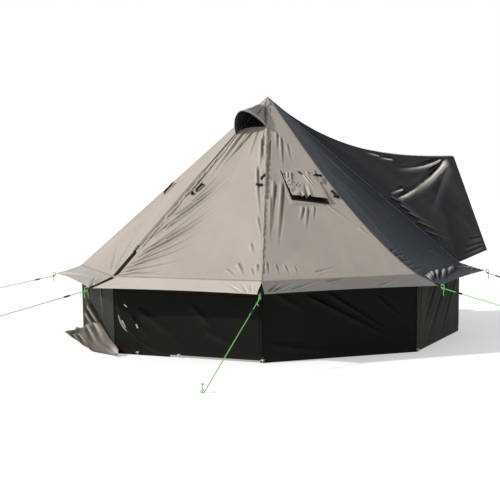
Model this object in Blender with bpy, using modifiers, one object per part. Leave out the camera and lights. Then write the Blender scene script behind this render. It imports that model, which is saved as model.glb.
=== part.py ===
"""Octagonal camping awning: a single-pole shelter whose east side opens into a covered sleeve.

Metres, +Z up. The origin is on the ground at the foot of the centre pole and +X points along the sleeve.
Sewn panels are thin shells that stop just short of the seam lines between them. A side is named for the
compass direction it faces, with north along +Y, and a corner for the direction of its seam.
"""
import math
from collections import namedtuple

import bmesh
import bpy
from mathutils import Matrix, Vector

# Outline of the shelter: an octagon with its corners on the seams
SIDES = 8
EAVE_RADIUS = 2.10
EAVE_HEIGHT = 0.76
APEX_HEIGHT = 2.60
VALANCE_RADIUS = 2.377
VALANCE_HEIGHT = 0.667
FOOT_RADIUS = 2.09
HEM_HEIGHT = 0.0005

# Cloth and fits
CLOTH = 0.003
SEAM_GAP = 0.0006
FIT = 0.0003
CALM_EDGE = 0.03
FOLD_RISE = 0.09

# Apex cap and centre pole
CAP_RADIUS = 0.11
CAP_CLOTH = 0.004
PANEL_TOP_GAP = 0.07
POLE_RADIUS = 0.019
POLE_WALL = 0.0015
UPPER_WALL = 0.0015
POLE_JOINT_HEIGHT = 1.35
UPPER_POLE_BOTTOM = 1.00
FOOT_DISC_RADIUS = 0.045
FOOT_DISC_HEIGHT = 0.010
FOOT_CUP_HEIGHT = 0.055
FOOT_CUP_WALL = 0.004
PLUG_SPIGOT = 0.05
PLUG_FLANGE = 0.016
COLLAR_HEIGHT = 0.055
COLLAR_WALL = 0.007
EAR_REACH = 0.018
EAR_THICKNESS = 0.004
EAR_SPACING = 0.016
LEVER_PIN_RADIUS = 0.003
LEVER_LENGTH = 0.075
LEVER_THICKNESS = 0.005
LEVER_SHOULDER = 0.001
KNUCKLE_RADIUS = 0.0065

# Sleeve on the east side
SLEEVE_EDGE_X = 1.82
SLEEVE_LIP = 0.08
SLEEVE_HALF_WIDTH = 0.75
SLEEVE_HEIGHT = 1.93
SLEEVE_SAG_POWER = 2.6
SLEEVE_MIDDLE_SAG = 0.035
SLEEVE_START_X = 0.20
SLEEVE_SEAM_TRIM = 0.004
SLEEVE_HEM_BOTTOM = Vector((2.36, 0.70, 0.877))
SLEEVE_STEPS = 15
SLEEVE_CORNER_STEP = 12
HEM_TAPE_WIDTH = 0.05
HEM_TAPE_THICKNESS = 0.003

# Vent hood near the top of the southwest roof panel, measured down the panel from the apex
HOOD_BRIM = 0.529
HOOD_SKEW = 0.045
HOOD_TOP = 0.174
HOOD_LIFT = 0.20
HOOD_SIDE_MARGIN = 0.012
VENT_LOW = 0.494
VENT_HIGH = 0.274
VENT_SIDE_MARGIN = 0.055
VENT_CUT = 0.02

# Stove port patch and rain flap on the south roof panel
PORT_WIDTH = 0.39
PORT_LOW = 1.02
PORT_HIGH = 1.49
PORT_PATCH_THICKNESS = 0.002
FLAP_WIDTH = 0.37
FLAP_LENGTH = 0.43
FLAP_FLARE = 0.03
FLAP_SLANT = 0.06

# Door in the southwest wall: a quarter-round leaf closed by a curved zip
DOOR_ARC_HEIGHT = 0.615
DOOR_ARC_RADIUS = 0.595
DOOR_SEAM_MARGIN = 0.02480837
DOOR_GAP = 0.0015
DOOR_ARC_STEPS = 9
ZIP_TAPE_WIDTH = 0.018
ZIP_TAPE_THICKNESS = 0.003
DOOR_SLIDER_ANGLE = 60.0

# Zip on the west-southwest roof seam, measured up the seam from the eave corner
ROOF_ZIP_RADIUS = 0.004
ROOF_ZIP_LOW = 0.03
ROOF_ZIP_HIGH = 2.30
ROOF_SLIDER_AT = 0.40
SLIDER_LENGTH = 0.034
SLIDER_WIDTH = 0.014
SLIDER_HEIGHT = 0.007
PULLER_LENGTH = 0.045
PULLER_WIDTH = 0.008

# Eave tabs at the valance tips that carry guy lines: webbing with an eyelet
TAB_WIDTH = 0.034
TAB_INSIDE = 0.060
TAB_THICKNESS = 0.002
TAB_STRAP = 0.006
EYELET_AT = 0.014
EYELET_PLAY = 0.0008

# Guy lines, each with an open eye bent at both ends
CORD_RADIUS = 0.004
CORD_POINTS = 14
EYE_RADIUS = 0.017
EYE_POINTS = 10
EYE_SWEEP = 285.0
RUNNER_LENGTH = 0.060
RUNNER_WIDTH = 0.026
RUNNER_HEIGHT = 0.015
RUNNER_EDGE = 0.003

# Pegs, as much of them as stands above the ground
PEG_RADIUS = 0.005
PEG_HEIGHT = 0.035
PEG_HEAD_RADIUS = 0.018
PEG_HEAD_HEIGHT = 0.008
GUY_PEG_HEIGHT = 0.075
GUY_EYE_HEIGHT = 0.026
DOOR_PEGS_AT = {"west": -0.53, "east": -0.07}

# Ground skirt outside the west wall
SKIRT_REACH = 0.19
SKIRT_TOP = 0.06
SKIRT_RISE = 0.14
SKIRT_FOLD = 0.018
SKIRT_FOLDS = 5
SKIRT_OVERHANG = 0.12

# Steps of each cloth sheet's grid
ROOF_ACROSS_STEPS = 12
ROOF_UP_STEPS = 14
VALANCE_ACROSS_STEPS = 12
VALANCE_UP_STEPS = 2
WALL_ACROSS_STEPS = 12
WALL_UP_STEPS = 5
DOOR_ACROSS_STEPS = 10
SLEEVE_TOP_ACROSS_STEPS = 6
SLEEVE_SIDE_UP_STEPS = 9
HOOD_ACROSS_STEPS = 12
HOOD_UP_STEPS = 6
FLAP_STEPS = 6
SKIRT_ACROSS_STEPS = 20
SKIRT_UP_STEPS = 4

ROUND_STEPS = 24
SMALL_STEPS = 12

SIDE_AZIMUTH = {
    "east": 0.0, "northeast": 45.0, "north": 90.0, "northwest": 135.0,
    "west": 180.0, "southwest": 225.0, "south": 270.0, "southeast": 315.0,
}
CORNER_AZIMUTH = {
    "ene": 22.5, "nne": 67.5, "nnw": 112.5, "wnw": 157.5,
    "wsw": 202.5, "ssw": 247.5, "sse": 292.5, "ese": 337.5,
}
DARK_SIDES = ("northeast", "southeast")
HALF_ANGLE = math.pi / SIDES

Fold = namedtuple("Fold", "x0 y0 x1 y1 width depth")

# Guy lines: where the line meets the ground, or would, and how far along it the modelled length ends
Guy = namedtuple("Guy", "corner ground_x ground_y length runner_at")
GUYS = (
    Guy("wnw", -5.060, 2.096, 0.82, 0.20),
    Guy("wsw", -4.961, -1.030, 0.98, 0.20),
    Guy("ssw", -1.720, -3.080, None, 0.22),
    Guy("sse", 2.677, -4.125, 0.72, 0.17),
    Guy("ese", 3.991, -1.653, 0.33, 0.13),
)

# Main creases of each visible roof panel, in metres across and up the panel
ROOF_FOLDS = {
    "west": (
        Fold(-0.70, 0.06, 0.05, 1.30, 0.10, 0.014),
        Fold(0.62, 0.10, 0.10, 1.60, 0.09, -0.012),
    ),
    "southwest": (
        Fold(-0.74, 0.05, -0.10, 1.70, 0.08, 0.020),
        Fold(-0.70, 0.06, 0.18, 1.35, 0.09, -0.018),
        Fold(-0.62, 0.05, 0.46, 0.75, 0.09, 0.016),
        Fold(0.62, 0.10, 0.22, 1.70, 0.07, -0.014),
        Fold(0.30, 0.12, 0.16, 1.50, 0.08, 0.010),
    ),
    "south": (
        Fold(-0.68, 0.08, -0.30, 1.45, 0.07, 0.014),
        Fold(-0.40, 0.10, -0.14, 0.98, 0.08, -0.012),
        Fold(0.05, 0.10, 0.02, 0.96, 0.09, 0.010),
        Fold(0.66, 0.08, 0.24, 0.96, 0.08, 0.012),
    ),
    "southeast": (
        Fold(-0.66, 0.08, -0.16, 1.80, 0.08, 0.012),
        Fold(0.64, 0.08, 0.10, 1.60, 0.09, -0.014),
    ),
}
VALANCE_FOLDS = (Fold(-0.45, 0.02, -0.40, 0.25, 0.10, 0.010), Fold(0.35, 0.02, 0.30, 0.25, 0.10, -0.010))
# Folds of the visible wall panels, in metres across and up the panel
WALL_FOLDS = {
    "west": (Fold(-0.55, 0.02, -0.30, 0.74, 0.10, -0.014), Fold(0.40, 0.02, 0.55, 0.74, 0.10, -0.012)),
    "south": (
        Fold(-0.68, 0.72, 0.05, 0.06, 0.08, 0.018),
        Fold(-0.20, 0.72, 0.60, 0.06, 0.08, -0.016),
        Fold(0.30, 0.74, 0.70, 0.30, 0.07, 0.012),
    ),
    "southeast": (
        Fold(-0.60, 0.73, -0.36, 0.03, 0.07, 0.020),
        Fold(-0.22, 0.73, -0.28, 0.03, 0.07, -0.016),
        Fold(0.12, 0.73, -0.02, 0.03, 0.07, 0.014),
        Fold(0.50, 0.73, 0.40, 0.03, 0.08, -0.014),
    ),
    "leaf": (
        Fold(-0.55, 0.58, 0.20, 0.05, 0.08, 0.014),
        Fold(0.10, 0.60, 0.55, 0.05, 0.08, -0.012),
    ),
}
# Folds of the sleeve's side, in metres along +X and up
SLEEVE_FOLDS = (
    Fold(1.78, 1.86, 1.15, 1.62, 0.07, 0.030),
    Fold(1.80, 1.80, 1.40, 1.25, 0.08, -0.028),
    Fold(1.86, 1.80, 1.78, 0.98, 0.08, 0.026),
    Fold(2.00, 1.60, 2.10, 0.92, 0.07, -0.022),
    Fold(1.30, 1.88, 0.95, 1.78, 0.06, -0.016),
)
SLEEVE_FADE = 0.10


# Scene and materials
def clear_scene():
    for old in list(bpy.data.objects):
        bpy.data.objects.remove(old, do_unlink=True)


def new_collection(name):
    group = bpy.data.collections.new(name)
    bpy.context.scene.collection.children.link(group)
    return group


def new_material(name, red, green, blue, roughness, metallic=0.0):
    surface = bpy.data.materials.new(name)
    surface.use_nodes = True
    shader = surface.node_tree.nodes["Principled BSDF"]
    shader.inputs["Base Color"].default_value = (red, green, blue, 1.0)
    shader.inputs["Roughness"].default_value = roughness
    shader.inputs["Metallic"].default_value = metallic
    return surface


clear_scene()
PARTS = new_collection("camping_awning")
CUTTERS = new_collection("cutters")

TAN_CLOTH = ("tan_canvas", 0.50, 0.45, 0.38, 0.75)
DARK_CLOTH = ("charcoal_canvas", 0.035, 0.042, 0.052, 0.45)
WALL_CLOTH = ("wall_canvas", 0.012, 0.012, 0.010, 0.70)
SLEEVE_CLOTH = ("coated_sleeve", 0.030, 0.036, 0.044, 0.32)
HOOD_CLOTH = ("hood_canvas", 0.30, 0.27, 0.24, 0.75)
BLACK_WEBBING = ("black_webbing", 0.010, 0.010, 0.011, 0.80)
BLACK_PLASTIC = ("black_plastic", 0.012, 0.012, 0.013, 0.45)
MESH_NET = ("black_mesh", 0.006, 0.006, 0.007, 0.90)
GREEN_CORD = ("green_guy_cord", 0.55, 0.66, 0.48, 0.65)
ALUMINIUM = ("anodised_tube", 0.60, 0.61, 0.62, 0.35, 1.0)
STEEL = ("zinc_steel", 0.55, 0.55, 0.56, 0.40, 1.0)
PEG_GREY = ("peg_grey", 0.62, 0.63, 0.62, 0.45)
SKIRT_CLOTH = ("skirt_canvas", 0.44, 0.37, 0.27, 0.80)


# Objects from meshes and curves
def place_object(name, data, finish, matrix=None, group=PARTS):
    """Link one named object with a material of its own."""
    item = bpy.data.objects.new(name, data)
    item.matrix_world = matrix if matrix is not None else Matrix.Identity(4)
    data.materials.append(new_material(name + "_" + finish[0], *finish[1:]))
    group.objects.link(item)
    return item


def bmesh_object(name, shape, finish, matrix=None, group=PARTS):
    mesh = bpy.data.meshes.new(name)
    shape.to_mesh(mesh)
    shape.free()
    return place_object(name, mesh, finish, matrix, group)


def add_box(shape, low, high):
    """A box between two corners, added to a bmesh."""
    low = Vector(low)
    high = Vector(high)
    size = high - low
    turn = Matrix.Translation((low + high) / 2) @ Matrix.Diagonal((size.x, size.y, size.z, 1.0))
    bmesh.ops.create_cube(shape, size=1.0, matrix=turn)


def add_cylinder(shape, radius, start, end, steps):
    """A closed cylinder between two points, added to a bmesh."""
    start = Vector(start)
    axis = Vector(end) - start
    turn = Matrix.Translation(start + axis / 2) @ axis.to_track_quat("Z", "Y").to_matrix().to_4x4()
    bmesh.ops.create_cone(shape, cap_ends=True, segments=steps, radius1=radius, radius2=radius,
                          depth=axis.length, matrix=turn)


def apply_boolean(target, cutter, operation):
    step = target.modifiers.new(operation.lower(), "BOOLEAN")
    step.operation = operation
    step.solver = "EXACT"
    step.object = cutter
    return step


def as_cutter(item):
    item.hide_render = True
    item.display_type = "WIRE"
    return item


def cutter_cylinder(name, radius, start, end, steps, matrix=None):
    shape = bmesh.new()
    add_cylinder(shape, radius, start, end, steps)
    return as_cutter(bmesh_object(name, shape, BLACK_PLASTIC, matrix, CUTTERS))


def turned(name, profile, finish, steps, matrix=None):
    """A profile of (radius, height) points, top to bottom on its outer side, turned about Z."""
    mesh = bpy.data.meshes.new(name)
    closed = profile[0][0] > 0
    edges = [(k, k + 1) for k in range(len(profile) - 1)]
    if closed:
        edges.append((len(profile) - 1, 0))
    mesh.from_pydata([(radius, 0.0, height) for radius, height in profile], edges, [])
    item = place_object(name, mesh, finish, matrix)
    screw = item.modifiers.new("turn", "SCREW")
    screw.steps = steps
    screw.render_steps = steps
    screw.use_merge_vertices = True
    screw.merge_threshold = 0.00001
    screw.use_smooth_shade = steps > SIDES
    return item


def outline_plate(name, outlines, thickness, finish, matrix):
    """A flat plate from closed outlines in its own XY plane; a second outline is a hole."""
    curve = bpy.data.curves.new(name, "CURVE")
    curve.dimensions = "2D"
    curve.fill_mode = "BOTH"
    curve.extrude = thickness / 2
    for outline in outlines:
        spline = curve.splines.new("POLY")
        spline.points.add(len(outline) - 1)
        for point, (x, y) in zip(spline.points, outline):
            point.co = (x, y, 0.0, 1.0)
        spline.use_cyclic_u = True
    return place_object(name, curve, finish, matrix)


def cord_tube(name, points, radius, finish):
    """A cord along a list of points, with its ends closed."""
    curve = bpy.data.curves.new(name, "CURVE")
    curve.dimensions = "3D"
    curve.bevel_depth = radius
    curve.bevel_resolution = 2
    curve.use_fill_caps = True
    spline = curve.splines.new("POLY")
    spline.points.add(len(points) - 1)
    for point, place in zip(spline.points, points):
        point.co = (*place, 1.0)
    return place_object(name, curve, finish)


def cloth_sheet(name, columns, rows, place, finish, matrix=None, thickness=CLOTH):
    """A cloth shell: a grid laid out by place(across, up), both 0 to 1, and thickened evenly."""
    shape = bmesh.new()
    bmesh.ops.create_grid(shape, x_segments=columns, y_segments=rows, size=0.5)
    for vert in shape.verts:
        vert.co = place(vert.co.x + 0.5, vert.co.y + 0.5)
    item = bmesh_object(name, shape, finish, matrix)
    item.data.shade_smooth()
    skin = item.modifiers.new("cloth", "SOLIDIFY")
    skin.thickness = thickness
    skin.offset = 0.0
    skin.use_even_offset = True
    return item


# Frames and shared geometry
def ring_point(radius, azimuth, height):
    turn = math.radians(azimuth)
    return Vector((radius * math.cos(turn), radius * math.sin(turn), height))


def frame_between(azimuth, lower, upper, corner=False):
    """Frame at the foot of a slope: X along the side, Y up the slope, Z outwards.

    lower and upper are (corner radius, height) pairs of the slope's two edges. With corner, Y runs
    up the seam itself, otherwise up the middle of the side.
    """
    share = 1.0 if corner else math.cos(HALF_ANGLE)
    start = ring_point(lower[0] * share, azimuth, lower[1])
    rise = (ring_point(upper[0] * share, azimuth, upper[1]) - start).normalized()
    along = Vector((0, 0, 1)).cross(ring_point(1.0, azimuth, 0.0))
    outward = along.cross(rise)
    frame = Matrix((along, rise, outward)).transposed().to_4x4()
    frame.translation = start
    return frame


EAVE = (EAVE_RADIUS, EAVE_HEIGHT)
APEX = (0.0, APEX_HEIGHT)
TIP = (VALANCE_RADIUS, VALANCE_HEIGHT)
FOOT = (FOOT_RADIUS, HEM_HEIGHT)


def roof_frame(azimuth, corner=False):
    return frame_between(azimuth, EAVE, APEX, corner)


def slope_length(lower, upper):
    run = (lower[0] - upper[0]) * math.cos(HALF_ANGLE)
    return math.hypot(run, upper[1] - lower[1])


def half_width(lower, upper, up):
    """Half the width of a panel at a distance up its slope, seam to seam."""
    share = up / slope_length(lower, upper)
    return (lower[0] + (upper[0] - lower[0]) * share) * math.sin(HALF_ANGLE)


def seam_bend(lower, upper):
    """Half the angle by which two neighbouring panels turn at their seam."""
    tilt = math.atan2(upper[1] - lower[1], (lower[0] - upper[0]) * math.cos(HALF_ANGLE))
    turn = math.sin(tilt) ** 2 * math.cos(2 * HALF_ANGLE) + math.cos(tilt) ** 2
    return math.acos(turn) / 2


def butt_inset(bend):
    """Distance from a seam line to a shell's edge that leaves SEAM_GAP, for half the turn at the seam."""
    return (SEAM_GAP / 2 + CLOTH / 2 * math.sin(bend)) / math.cos(bend)


def seam_inset(lower, upper):
    """Distance from the seam line between two neighbouring sides to a panel's edge."""
    return butt_inset(seam_bend(lower, upper))


def smooth_step(value):
    clipped = min(max(value, 0.0), 1.0)
    return clipped * clipped * (3 - 2 * clipped)


def fold_height(folds, x, y):
    """Height of the creases at a point: each is a ridge that dies out at both its ends."""
    total = 0.0
    for fold in folds:
        run = Vector((fold.x1 - fold.x0, fold.y1 - fold.y0))
        offset = Vector((x - fold.x0, y - fold.y0))
        along = offset.dot(run) / run.length_squared
        if 0.0 < along < 1.0:
            across = abs(offset.x * run.y - offset.y * run.x) / run.length
            total += fold.depth * math.sin(math.pi * along) * math.exp(-(across / fold.width) ** 2)
    return total


def calm_factor(distance):
    return smooth_step((distance - CALM_EDGE) / FOLD_RISE)


ROOF_SLOPE = math.atan2(APEX_HEIGHT - EAVE_HEIGHT, EAVE_RADIUS * math.cos(HALF_ANGLE))
VALANCE_SLOPE = math.atan2(EAVE_HEIGHT - VALANCE_HEIGHT, (VALANCE_RADIUS - EAVE_RADIUS) * math.cos(HALF_ANGLE))
ROOF_LENGTH = slope_length(EAVE, APEX)
WALL_DROP = CLOTH / 2 / math.cos(ROOF_SLOPE) + SEAM_GAP

EAVE_INSET = butt_inset((ROOF_SLOPE - VALANCE_SLOPE) / 2)


def sewn_panel(name, azimuth, lower, upper, finish, folds=(), columns=1, rows=1, low_trim=0.0,
               high_trim=0.0, keep_flat=None):
    """One side's panel between two slope edges, trimmed back from its seams.

    keep_flat(x, y) gives the distance from an area that must stay flat for a piece sewn on it.
    """
    length = slope_length(lower, upper)
    inset = seam_inset(lower, upper)

    def place(across, up):
        y = low_trim + up * (length - low_trim - high_trim)
        half = half_width(lower, upper, y) - inset
        x = (2 * across - 1) * half
        room = min(half - abs(x), y, length - y)
        if keep_flat:
            room = min(room, keep_flat(x, y))
        return Vector((x, y, fold_height(folds, x, y) * calm_factor(room)))

    return cloth_sheet(name, columns, rows, place, finish, frame_between(azimuth, lower, upper))


# Roof, valance and walls
ROOF_CELL = ROOF_LENGTH / ROOF_UP_STEPS


def near_port(x, y):
    """Distance from the stove port, less one cell of the panel's grid."""
    beyond = Vector((max(abs(x) - PORT_WIDTH / 2, 0.0), max(PORT_LOW - y, y - PORT_HIGH, 0.0)))
    return beyond.length - ROOF_CELL


def near_vent(x, y):
    """Distance from the hood's brim, less one cell of the panel's grid."""
    return ROOF_LENGTH - HOOD_BRIM - HOOD_SKEW - y - ROOF_CELL


def vent_outline(margin):
    """The vent's trapezoid in the panel's plane, grown or shrunk by a margin."""
    bottom, top = ROOF_LENGTH - VENT_LOW, ROOF_LENGTH - VENT_HIGH
    low = half_width(EAVE, APEX, bottom) - VENT_SIDE_MARGIN + margin
    high = half_width(EAVE, APEX, top) - VENT_SIDE_MARGIN + margin
    return [(-low, bottom - margin), (low, bottom - margin), (high, top + margin), (-high, top + margin)]


def build_roof():
    for side, azimuth in SIDE_AZIMUTH.items():
        if side == "east":
            continue
        folds = ROOF_FOLDS.get(side, ())
        flat = {"south": near_port, "southwest": near_vent}.get(side)
        columns, rows = (ROOF_ACROSS_STEPS, ROOF_UP_STEPS) if folds else (1, 1)
        panel = sewn_panel("roof_panel_" + side, azimuth, EAVE, APEX,
                           DARK_CLOTH if side in DARK_SIDES else TAN_CLOTH, folds, columns, rows,
                           low_trim=EAVE_INSET, high_trim=PANEL_TOP_GAP, keep_flat=flat)
        if side == "southwest":
            shape = bmesh.new()
            corners = [shape.verts.new((x, y, -VENT_CUT)) for x, y in vent_outline(0.0)]
            base = shape.faces.new(corners)
            wall = bmesh.ops.extrude_face_region(shape, geom=[base])
            lifted = [item for item in wall["geom"] if isinstance(item, bmesh.types.BMVert)]
            bmesh.ops.translate(shape, verts=lifted, vec=(0, 0, 2 * VENT_CUT))
            bmesh.ops.recalc_face_normals(shape, faces=shape.faces)
            hole = as_cutter(bmesh_object("vent_hole", shape, MESH_NET, roof_frame(azimuth), CUTTERS))
            apply_boolean(panel, hole, "DIFFERENCE")


def build_valance():
    for side, azimuth in SIDE_AZIMUTH.items():
        if side == "east":
            continue
        shown = side in ROOF_FOLDS
        sewn_panel("valance_" + side, azimuth, TIP, EAVE, DARK_CLOTH if side in DARK_SIDES else TAN_CLOTH,
                   VALANCE_FOLDS if shown else (), VALANCE_ACROSS_STEPS if shown else 1,
                   VALANCE_UP_STEPS if shown else 1, high_trim=EAVE_INSET)


def build_walls():
    for side in ("west", "south", "southeast"):
        sewn_panel("wall_" + side, SIDE_AZIMUTH[side], FOOT, EAVE, WALL_CLOTH, WALL_FOLDS[side],
                   WALL_ACROSS_STEPS, WALL_UP_STEPS, high_trim=WALL_DROP)

    top_height = EAVE_HEIGHT - WALL_DROP
    top_radius = EAVE_RADIUS - (EAVE_RADIUS - FOOT_RADIUS) * WALL_DROP / (EAVE_HEIGHT - HEM_HEIGHT)
    inset = seam_inset(FOOT, EAVE)

    def place(across, up):
        """The back wall runs round three sides, from the northeast to the northwest."""
        radius = FOOT_RADIUS + (top_radius - FOOT_RADIUS) * up
        height = HEM_HEIGHT + (top_height - HEM_HEIGHT) * up
        corners = [ring_point(radius, CORNER_AZIMUTH[name], height) for name in ("ene", "nne", "nnw", "wnw")]
        step = min(int(across * 3 + 0.5), 3)
        spot = corners[step]
        if step == 3:
            spot = spot + (corners[2] - spot).normalized() * inset
        return spot

    cloth_sheet("wall_back", 3, 1, place, WALL_CLOTH)


# Door in the southwest wall
DOOR_FRAME = frame_between(SIDE_AZIMUTH["southwest"], FOOT, EAVE)
DOOR_SEAM_REACH = min(half_width(FOOT, EAVE, 0.0), half_width(FOOT, EAVE, DOOR_ARC_HEIGHT))
DOOR_HINGE_X = DOOR_SEAM_REACH - DOOR_SEAM_MARGIN
DOOR_ARC_X = DOOR_ARC_RADIUS - DOOR_HINGE_X
WALL_TOP = slope_length(FOOT, EAVE) - WALL_DROP


def arc_point(radius, angle):
    """A point of the door's arc: 0 degrees is its lowest point and 90 is level with its centre."""
    turn = math.radians(angle)
    return DOOR_ARC_X - radius * math.sin(turn), DOOR_ARC_HEIGHT - radius * math.cos(turn)


def build_door():
    inset = seam_inset(FOOT, EAVE)
    foot_half = half_width(FOOT, EAVE, 0.0) - inset
    top_half = half_width(FOOT, EAVE, WALL_TOP) - inset
    outer = DOOR_ARC_RADIUS + DOOR_GAP
    header = DOOR_ARC_HEIGHT + DOOR_GAP
    post = DOOR_HINGE_X + CLOTH / 2 + FIT
    arc = [arc_point(outer, 90 * k / DOOR_ARC_STEPS) for k in range(1, DOOR_ARC_STEPS + 1)]
    arc[-1] = (arc[-1][0], header)
    outline = [(-foot_half, 0.0), (arc[0][0], 0.0)] + arc
    outline += [(post, header), (post, 0.0), (foot_half, 0.0), (top_half, WALL_TOP), (-top_half, WALL_TOP)]
    outline_plate("wall_southwest", [outline], CLOTH, WALL_CLOTH, DOOR_FRAME)

    def place(across, up):
        left, y = arc_point(DOOR_ARC_RADIUS, 90 * up)
        x = left + (DOOR_HINGE_X - left) * across
        bottom = DOOR_ARC_HEIGHT - DOOR_ARC_RADIUS
        room = min(x - left, DOOR_HINGE_X - x, y - bottom, DOOR_ARC_HEIGHT - y)
        lift = fold_height(WALL_FOLDS["leaf"], x, y) * calm_factor(room)
        return Vector((x - DOOR_HINGE_X, y, lift))

    hinge = DOOR_FRAME @ Matrix.Translation((DOOR_HINGE_X, 0, 0))
    cloth_sheet("door_leaf", DOOR_ACROSS_STEPS, DOOR_ARC_STEPS, place, WALL_CLOTH, hinge)

    tape_mid = DOOR_ARC_RADIUS + DOOR_GAP / 2
    low, high = tape_mid - ZIP_TAPE_WIDTH / 2, tape_mid + ZIP_TAPE_WIDTH / 2
    angles = [90.0 * k / DOOR_ARC_STEPS for k in range(DOOR_ARC_STEPS + 1)]
    ribbon = [arc_point(high, a) for a in angles] + [arc_point(low, a) for a in reversed(angles)]
    tape_lift = CLOTH / 2 + FIT + ZIP_TAPE_THICKNESS / 2
    outline_plate("door_zip", [ribbon], ZIP_TAPE_THICKNESS, BLACK_PLASTIC,
                  DOOR_FRAME @ Matrix.Translation((0, 0, tape_lift)))

    turn = math.radians(180 + 90 - DOOR_SLIDER_ANGLE)
    slider_lift = tape_lift + ZIP_TAPE_THICKNESS / 2 + FIT + SLIDER_HEIGHT / 2
    outline_plate("door_zip_slider", [slider_outline(tape_mid, turn)], SLIDER_HEIGHT, STEEL,
                  DOOR_FRAME @ Matrix.Translation((DOOR_ARC_X, DOOR_ARC_HEIGHT, slider_lift)))


def slider_outline(reach, turn):
    """A zip slider with its puller: its middle lies at a reach from the origin in a direction, square to it."""
    body = SLIDER_LENGTH / 2
    tail = body + PULLER_LENGTH
    shape = [(-body, -SLIDER_WIDTH / 2), (-body, SLIDER_WIDTH / 2), (body, SLIDER_WIDTH / 2),
             (body, PULLER_WIDTH / 2), (tail, PULLER_WIDTH / 2), (tail, -PULLER_WIDTH / 2),
             (body, -PULLER_WIDTH / 2), (body, -SLIDER_WIDTH / 2)]
    cos, sin = math.cos(turn), math.sin(turn)
    return [(cos * (reach + out) - sin * along, sin * (reach + out) + cos * along) for along, out in shape]


def build_roof_zip():
    """The zip along the west-southwest seam and its slider."""
    seam = roof_frame(CORNER_AZIMUTH["wsw"], corner=True)
    bend = seam_bend(EAVE, APEX)
    lift = (CLOTH / 2 + ROOF_ZIP_RADIUS + FIT) / math.cos(bend)
    ends = [seam @ Vector((0, y, lift)) for y in (ROOF_ZIP_LOW, ROOF_ZIP_HIGH)]
    cord_tube("roof_zip", ends, ROOF_ZIP_RADIUS, BLACK_PLASTIC)
    spot = seam @ Matrix.Translation((0, ROOF_SLIDER_AT, lift + ROOF_ZIP_RADIUS + FIT + SLIDER_HEIGHT / 2))
    outline_plate("roof_zip_slider", [slider_outline(0.0, math.pi)], SLIDER_HEIGHT, STEEL, spot)


# Sleeve
def sleeve_crest(x):
    """Height of the sleeve's top edge: it sags from the apex and runs level to the straight edge."""
    left = max(1.0 - x / SLEEVE_EDGE_X, 0.0)
    return SLEEVE_HEIGHT + (APEX_HEIGHT - SLEEVE_HEIGHT) * left ** SLEEVE_SAG_POWER


def sleeve_half(x):
    return SLEEVE_HALF_WIDTH * min(x / SLEEVE_EDGE_X, 1.0)


SLEEVE_EDGE_TRIM = CLOTH / 2 + SEAM_GAP + FIT


def sleeve_x(step):
    """Distance from the pole along the crest: the last step is the lip beyond the straight edge."""
    to_edge = min(step / (SLEEVE_STEPS - 1), 1.0)
    beyond = max(step - SLEEVE_STEPS + 1, 0.0)
    return SLEEVE_START_X + (SLEEVE_EDGE_X - SLEEVE_START_X) * to_edge + SLEEVE_LIP * beyond


def build_sleeve():
    end_x = SLEEVE_EDGE_X + SLEEVE_LIP
    cap_edge = CAP_RADIUS * math.cos(HALF_ANGLE) + CLOTH

    def top_place(across, along):
        """The top has the sides' steps and one more, from the cap's edge to where the sides begin."""
        step = along * (SLEEVE_STEPS + 1) - 1
        x = sleeve_x(step) if step > -FIT else cap_edge
        side = 2 * across - 1
        sag = SLEEVE_MIDDLE_SAG * (1 - side * side) * math.sin(math.pi * min(x / SLEEVE_EDGE_X, 1.0))
        return Vector((x, side * (sleeve_half(x) - SLEEVE_EDGE_TRIM), sleeve_crest(x) - sag))

    cloth_sheet("sleeve_top", SLEEVE_TOP_ACROSS_STEPS, SLEEVE_STEPS + 1, lambda s, t: top_place(1 - s, t),
                SLEEVE_CLOTH)

    corner = ring_point(EAVE_RADIUS, CORNER_AZIMUTH["ene"], EAVE_HEIGHT)
    seam_drop = (APEX_HEIGHT - EAVE_HEIGHT) / corner.x
    start = Vector((SLEEVE_START_X, corner.y * SLEEVE_START_X / corner.x,
                    APEX_HEIGHT - seam_drop * SLEEVE_START_X))

    def side_place(along, up, hand):
        corner_share = SLEEVE_CORNER_STEP / SLEEVE_STEPS
        if along < corner_share:
            low = start.lerp(corner, along / corner_share)
        else:
            low = corner.lerp(SLEEVE_HEM_BOTTOM, (along - corner_share) / (1 - corner_share))
        x = sleeve_x(along * SLEEVE_STEPS)
        high = Vector((x, sleeve_half(x), sleeve_crest(x)))
        run = high - low
        spot = (low + run.normalized() * SLEEVE_SEAM_TRIM).lerp(high - run.normalized() * SLEEVE_EDGE_TRIM, up)
        room = min(up, 1 - up) * run.length
        fade = smooth_step(room / SLEEVE_FADE) * smooth_step((1 - along) / SLEEVE_FADE)
        spot += Vector((-math.sin(HALF_ANGLE), math.cos(HALF_ANGLE), 0)) * fade \
            * fold_height(SLEEVE_FOLDS, spot.x, spot.z)
        spot.y *= hand
        return spot

    cloth_sheet("sleeve_side_south", SLEEVE_STEPS, SLEEVE_SIDE_UP_STEPS, lambda s, t: side_place(s, t, -1),
                SLEEVE_CLOTH)
    cloth_sheet("sleeve_side_north", SLEEVE_STEPS, SLEEVE_SIDE_UP_STEPS, lambda s, t: side_place(1 - s, t, 1),
                SLEEVE_CLOTH)
    under = SLEEVE_HEIGHT - CLOTH / 2 - FIT
    half = SLEEVE_HALF_WIDTH - HEM_TAPE_WIDTH / 2
    shape = bmesh.new()
    add_box(shape, (end_x - HEM_TAPE_WIDTH, -half, under - HEM_TAPE_THICKNESS), (end_x, half, under))
    bmesh_object("sleeve_hem_tape", shape, BLACK_WEBBING)


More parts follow.
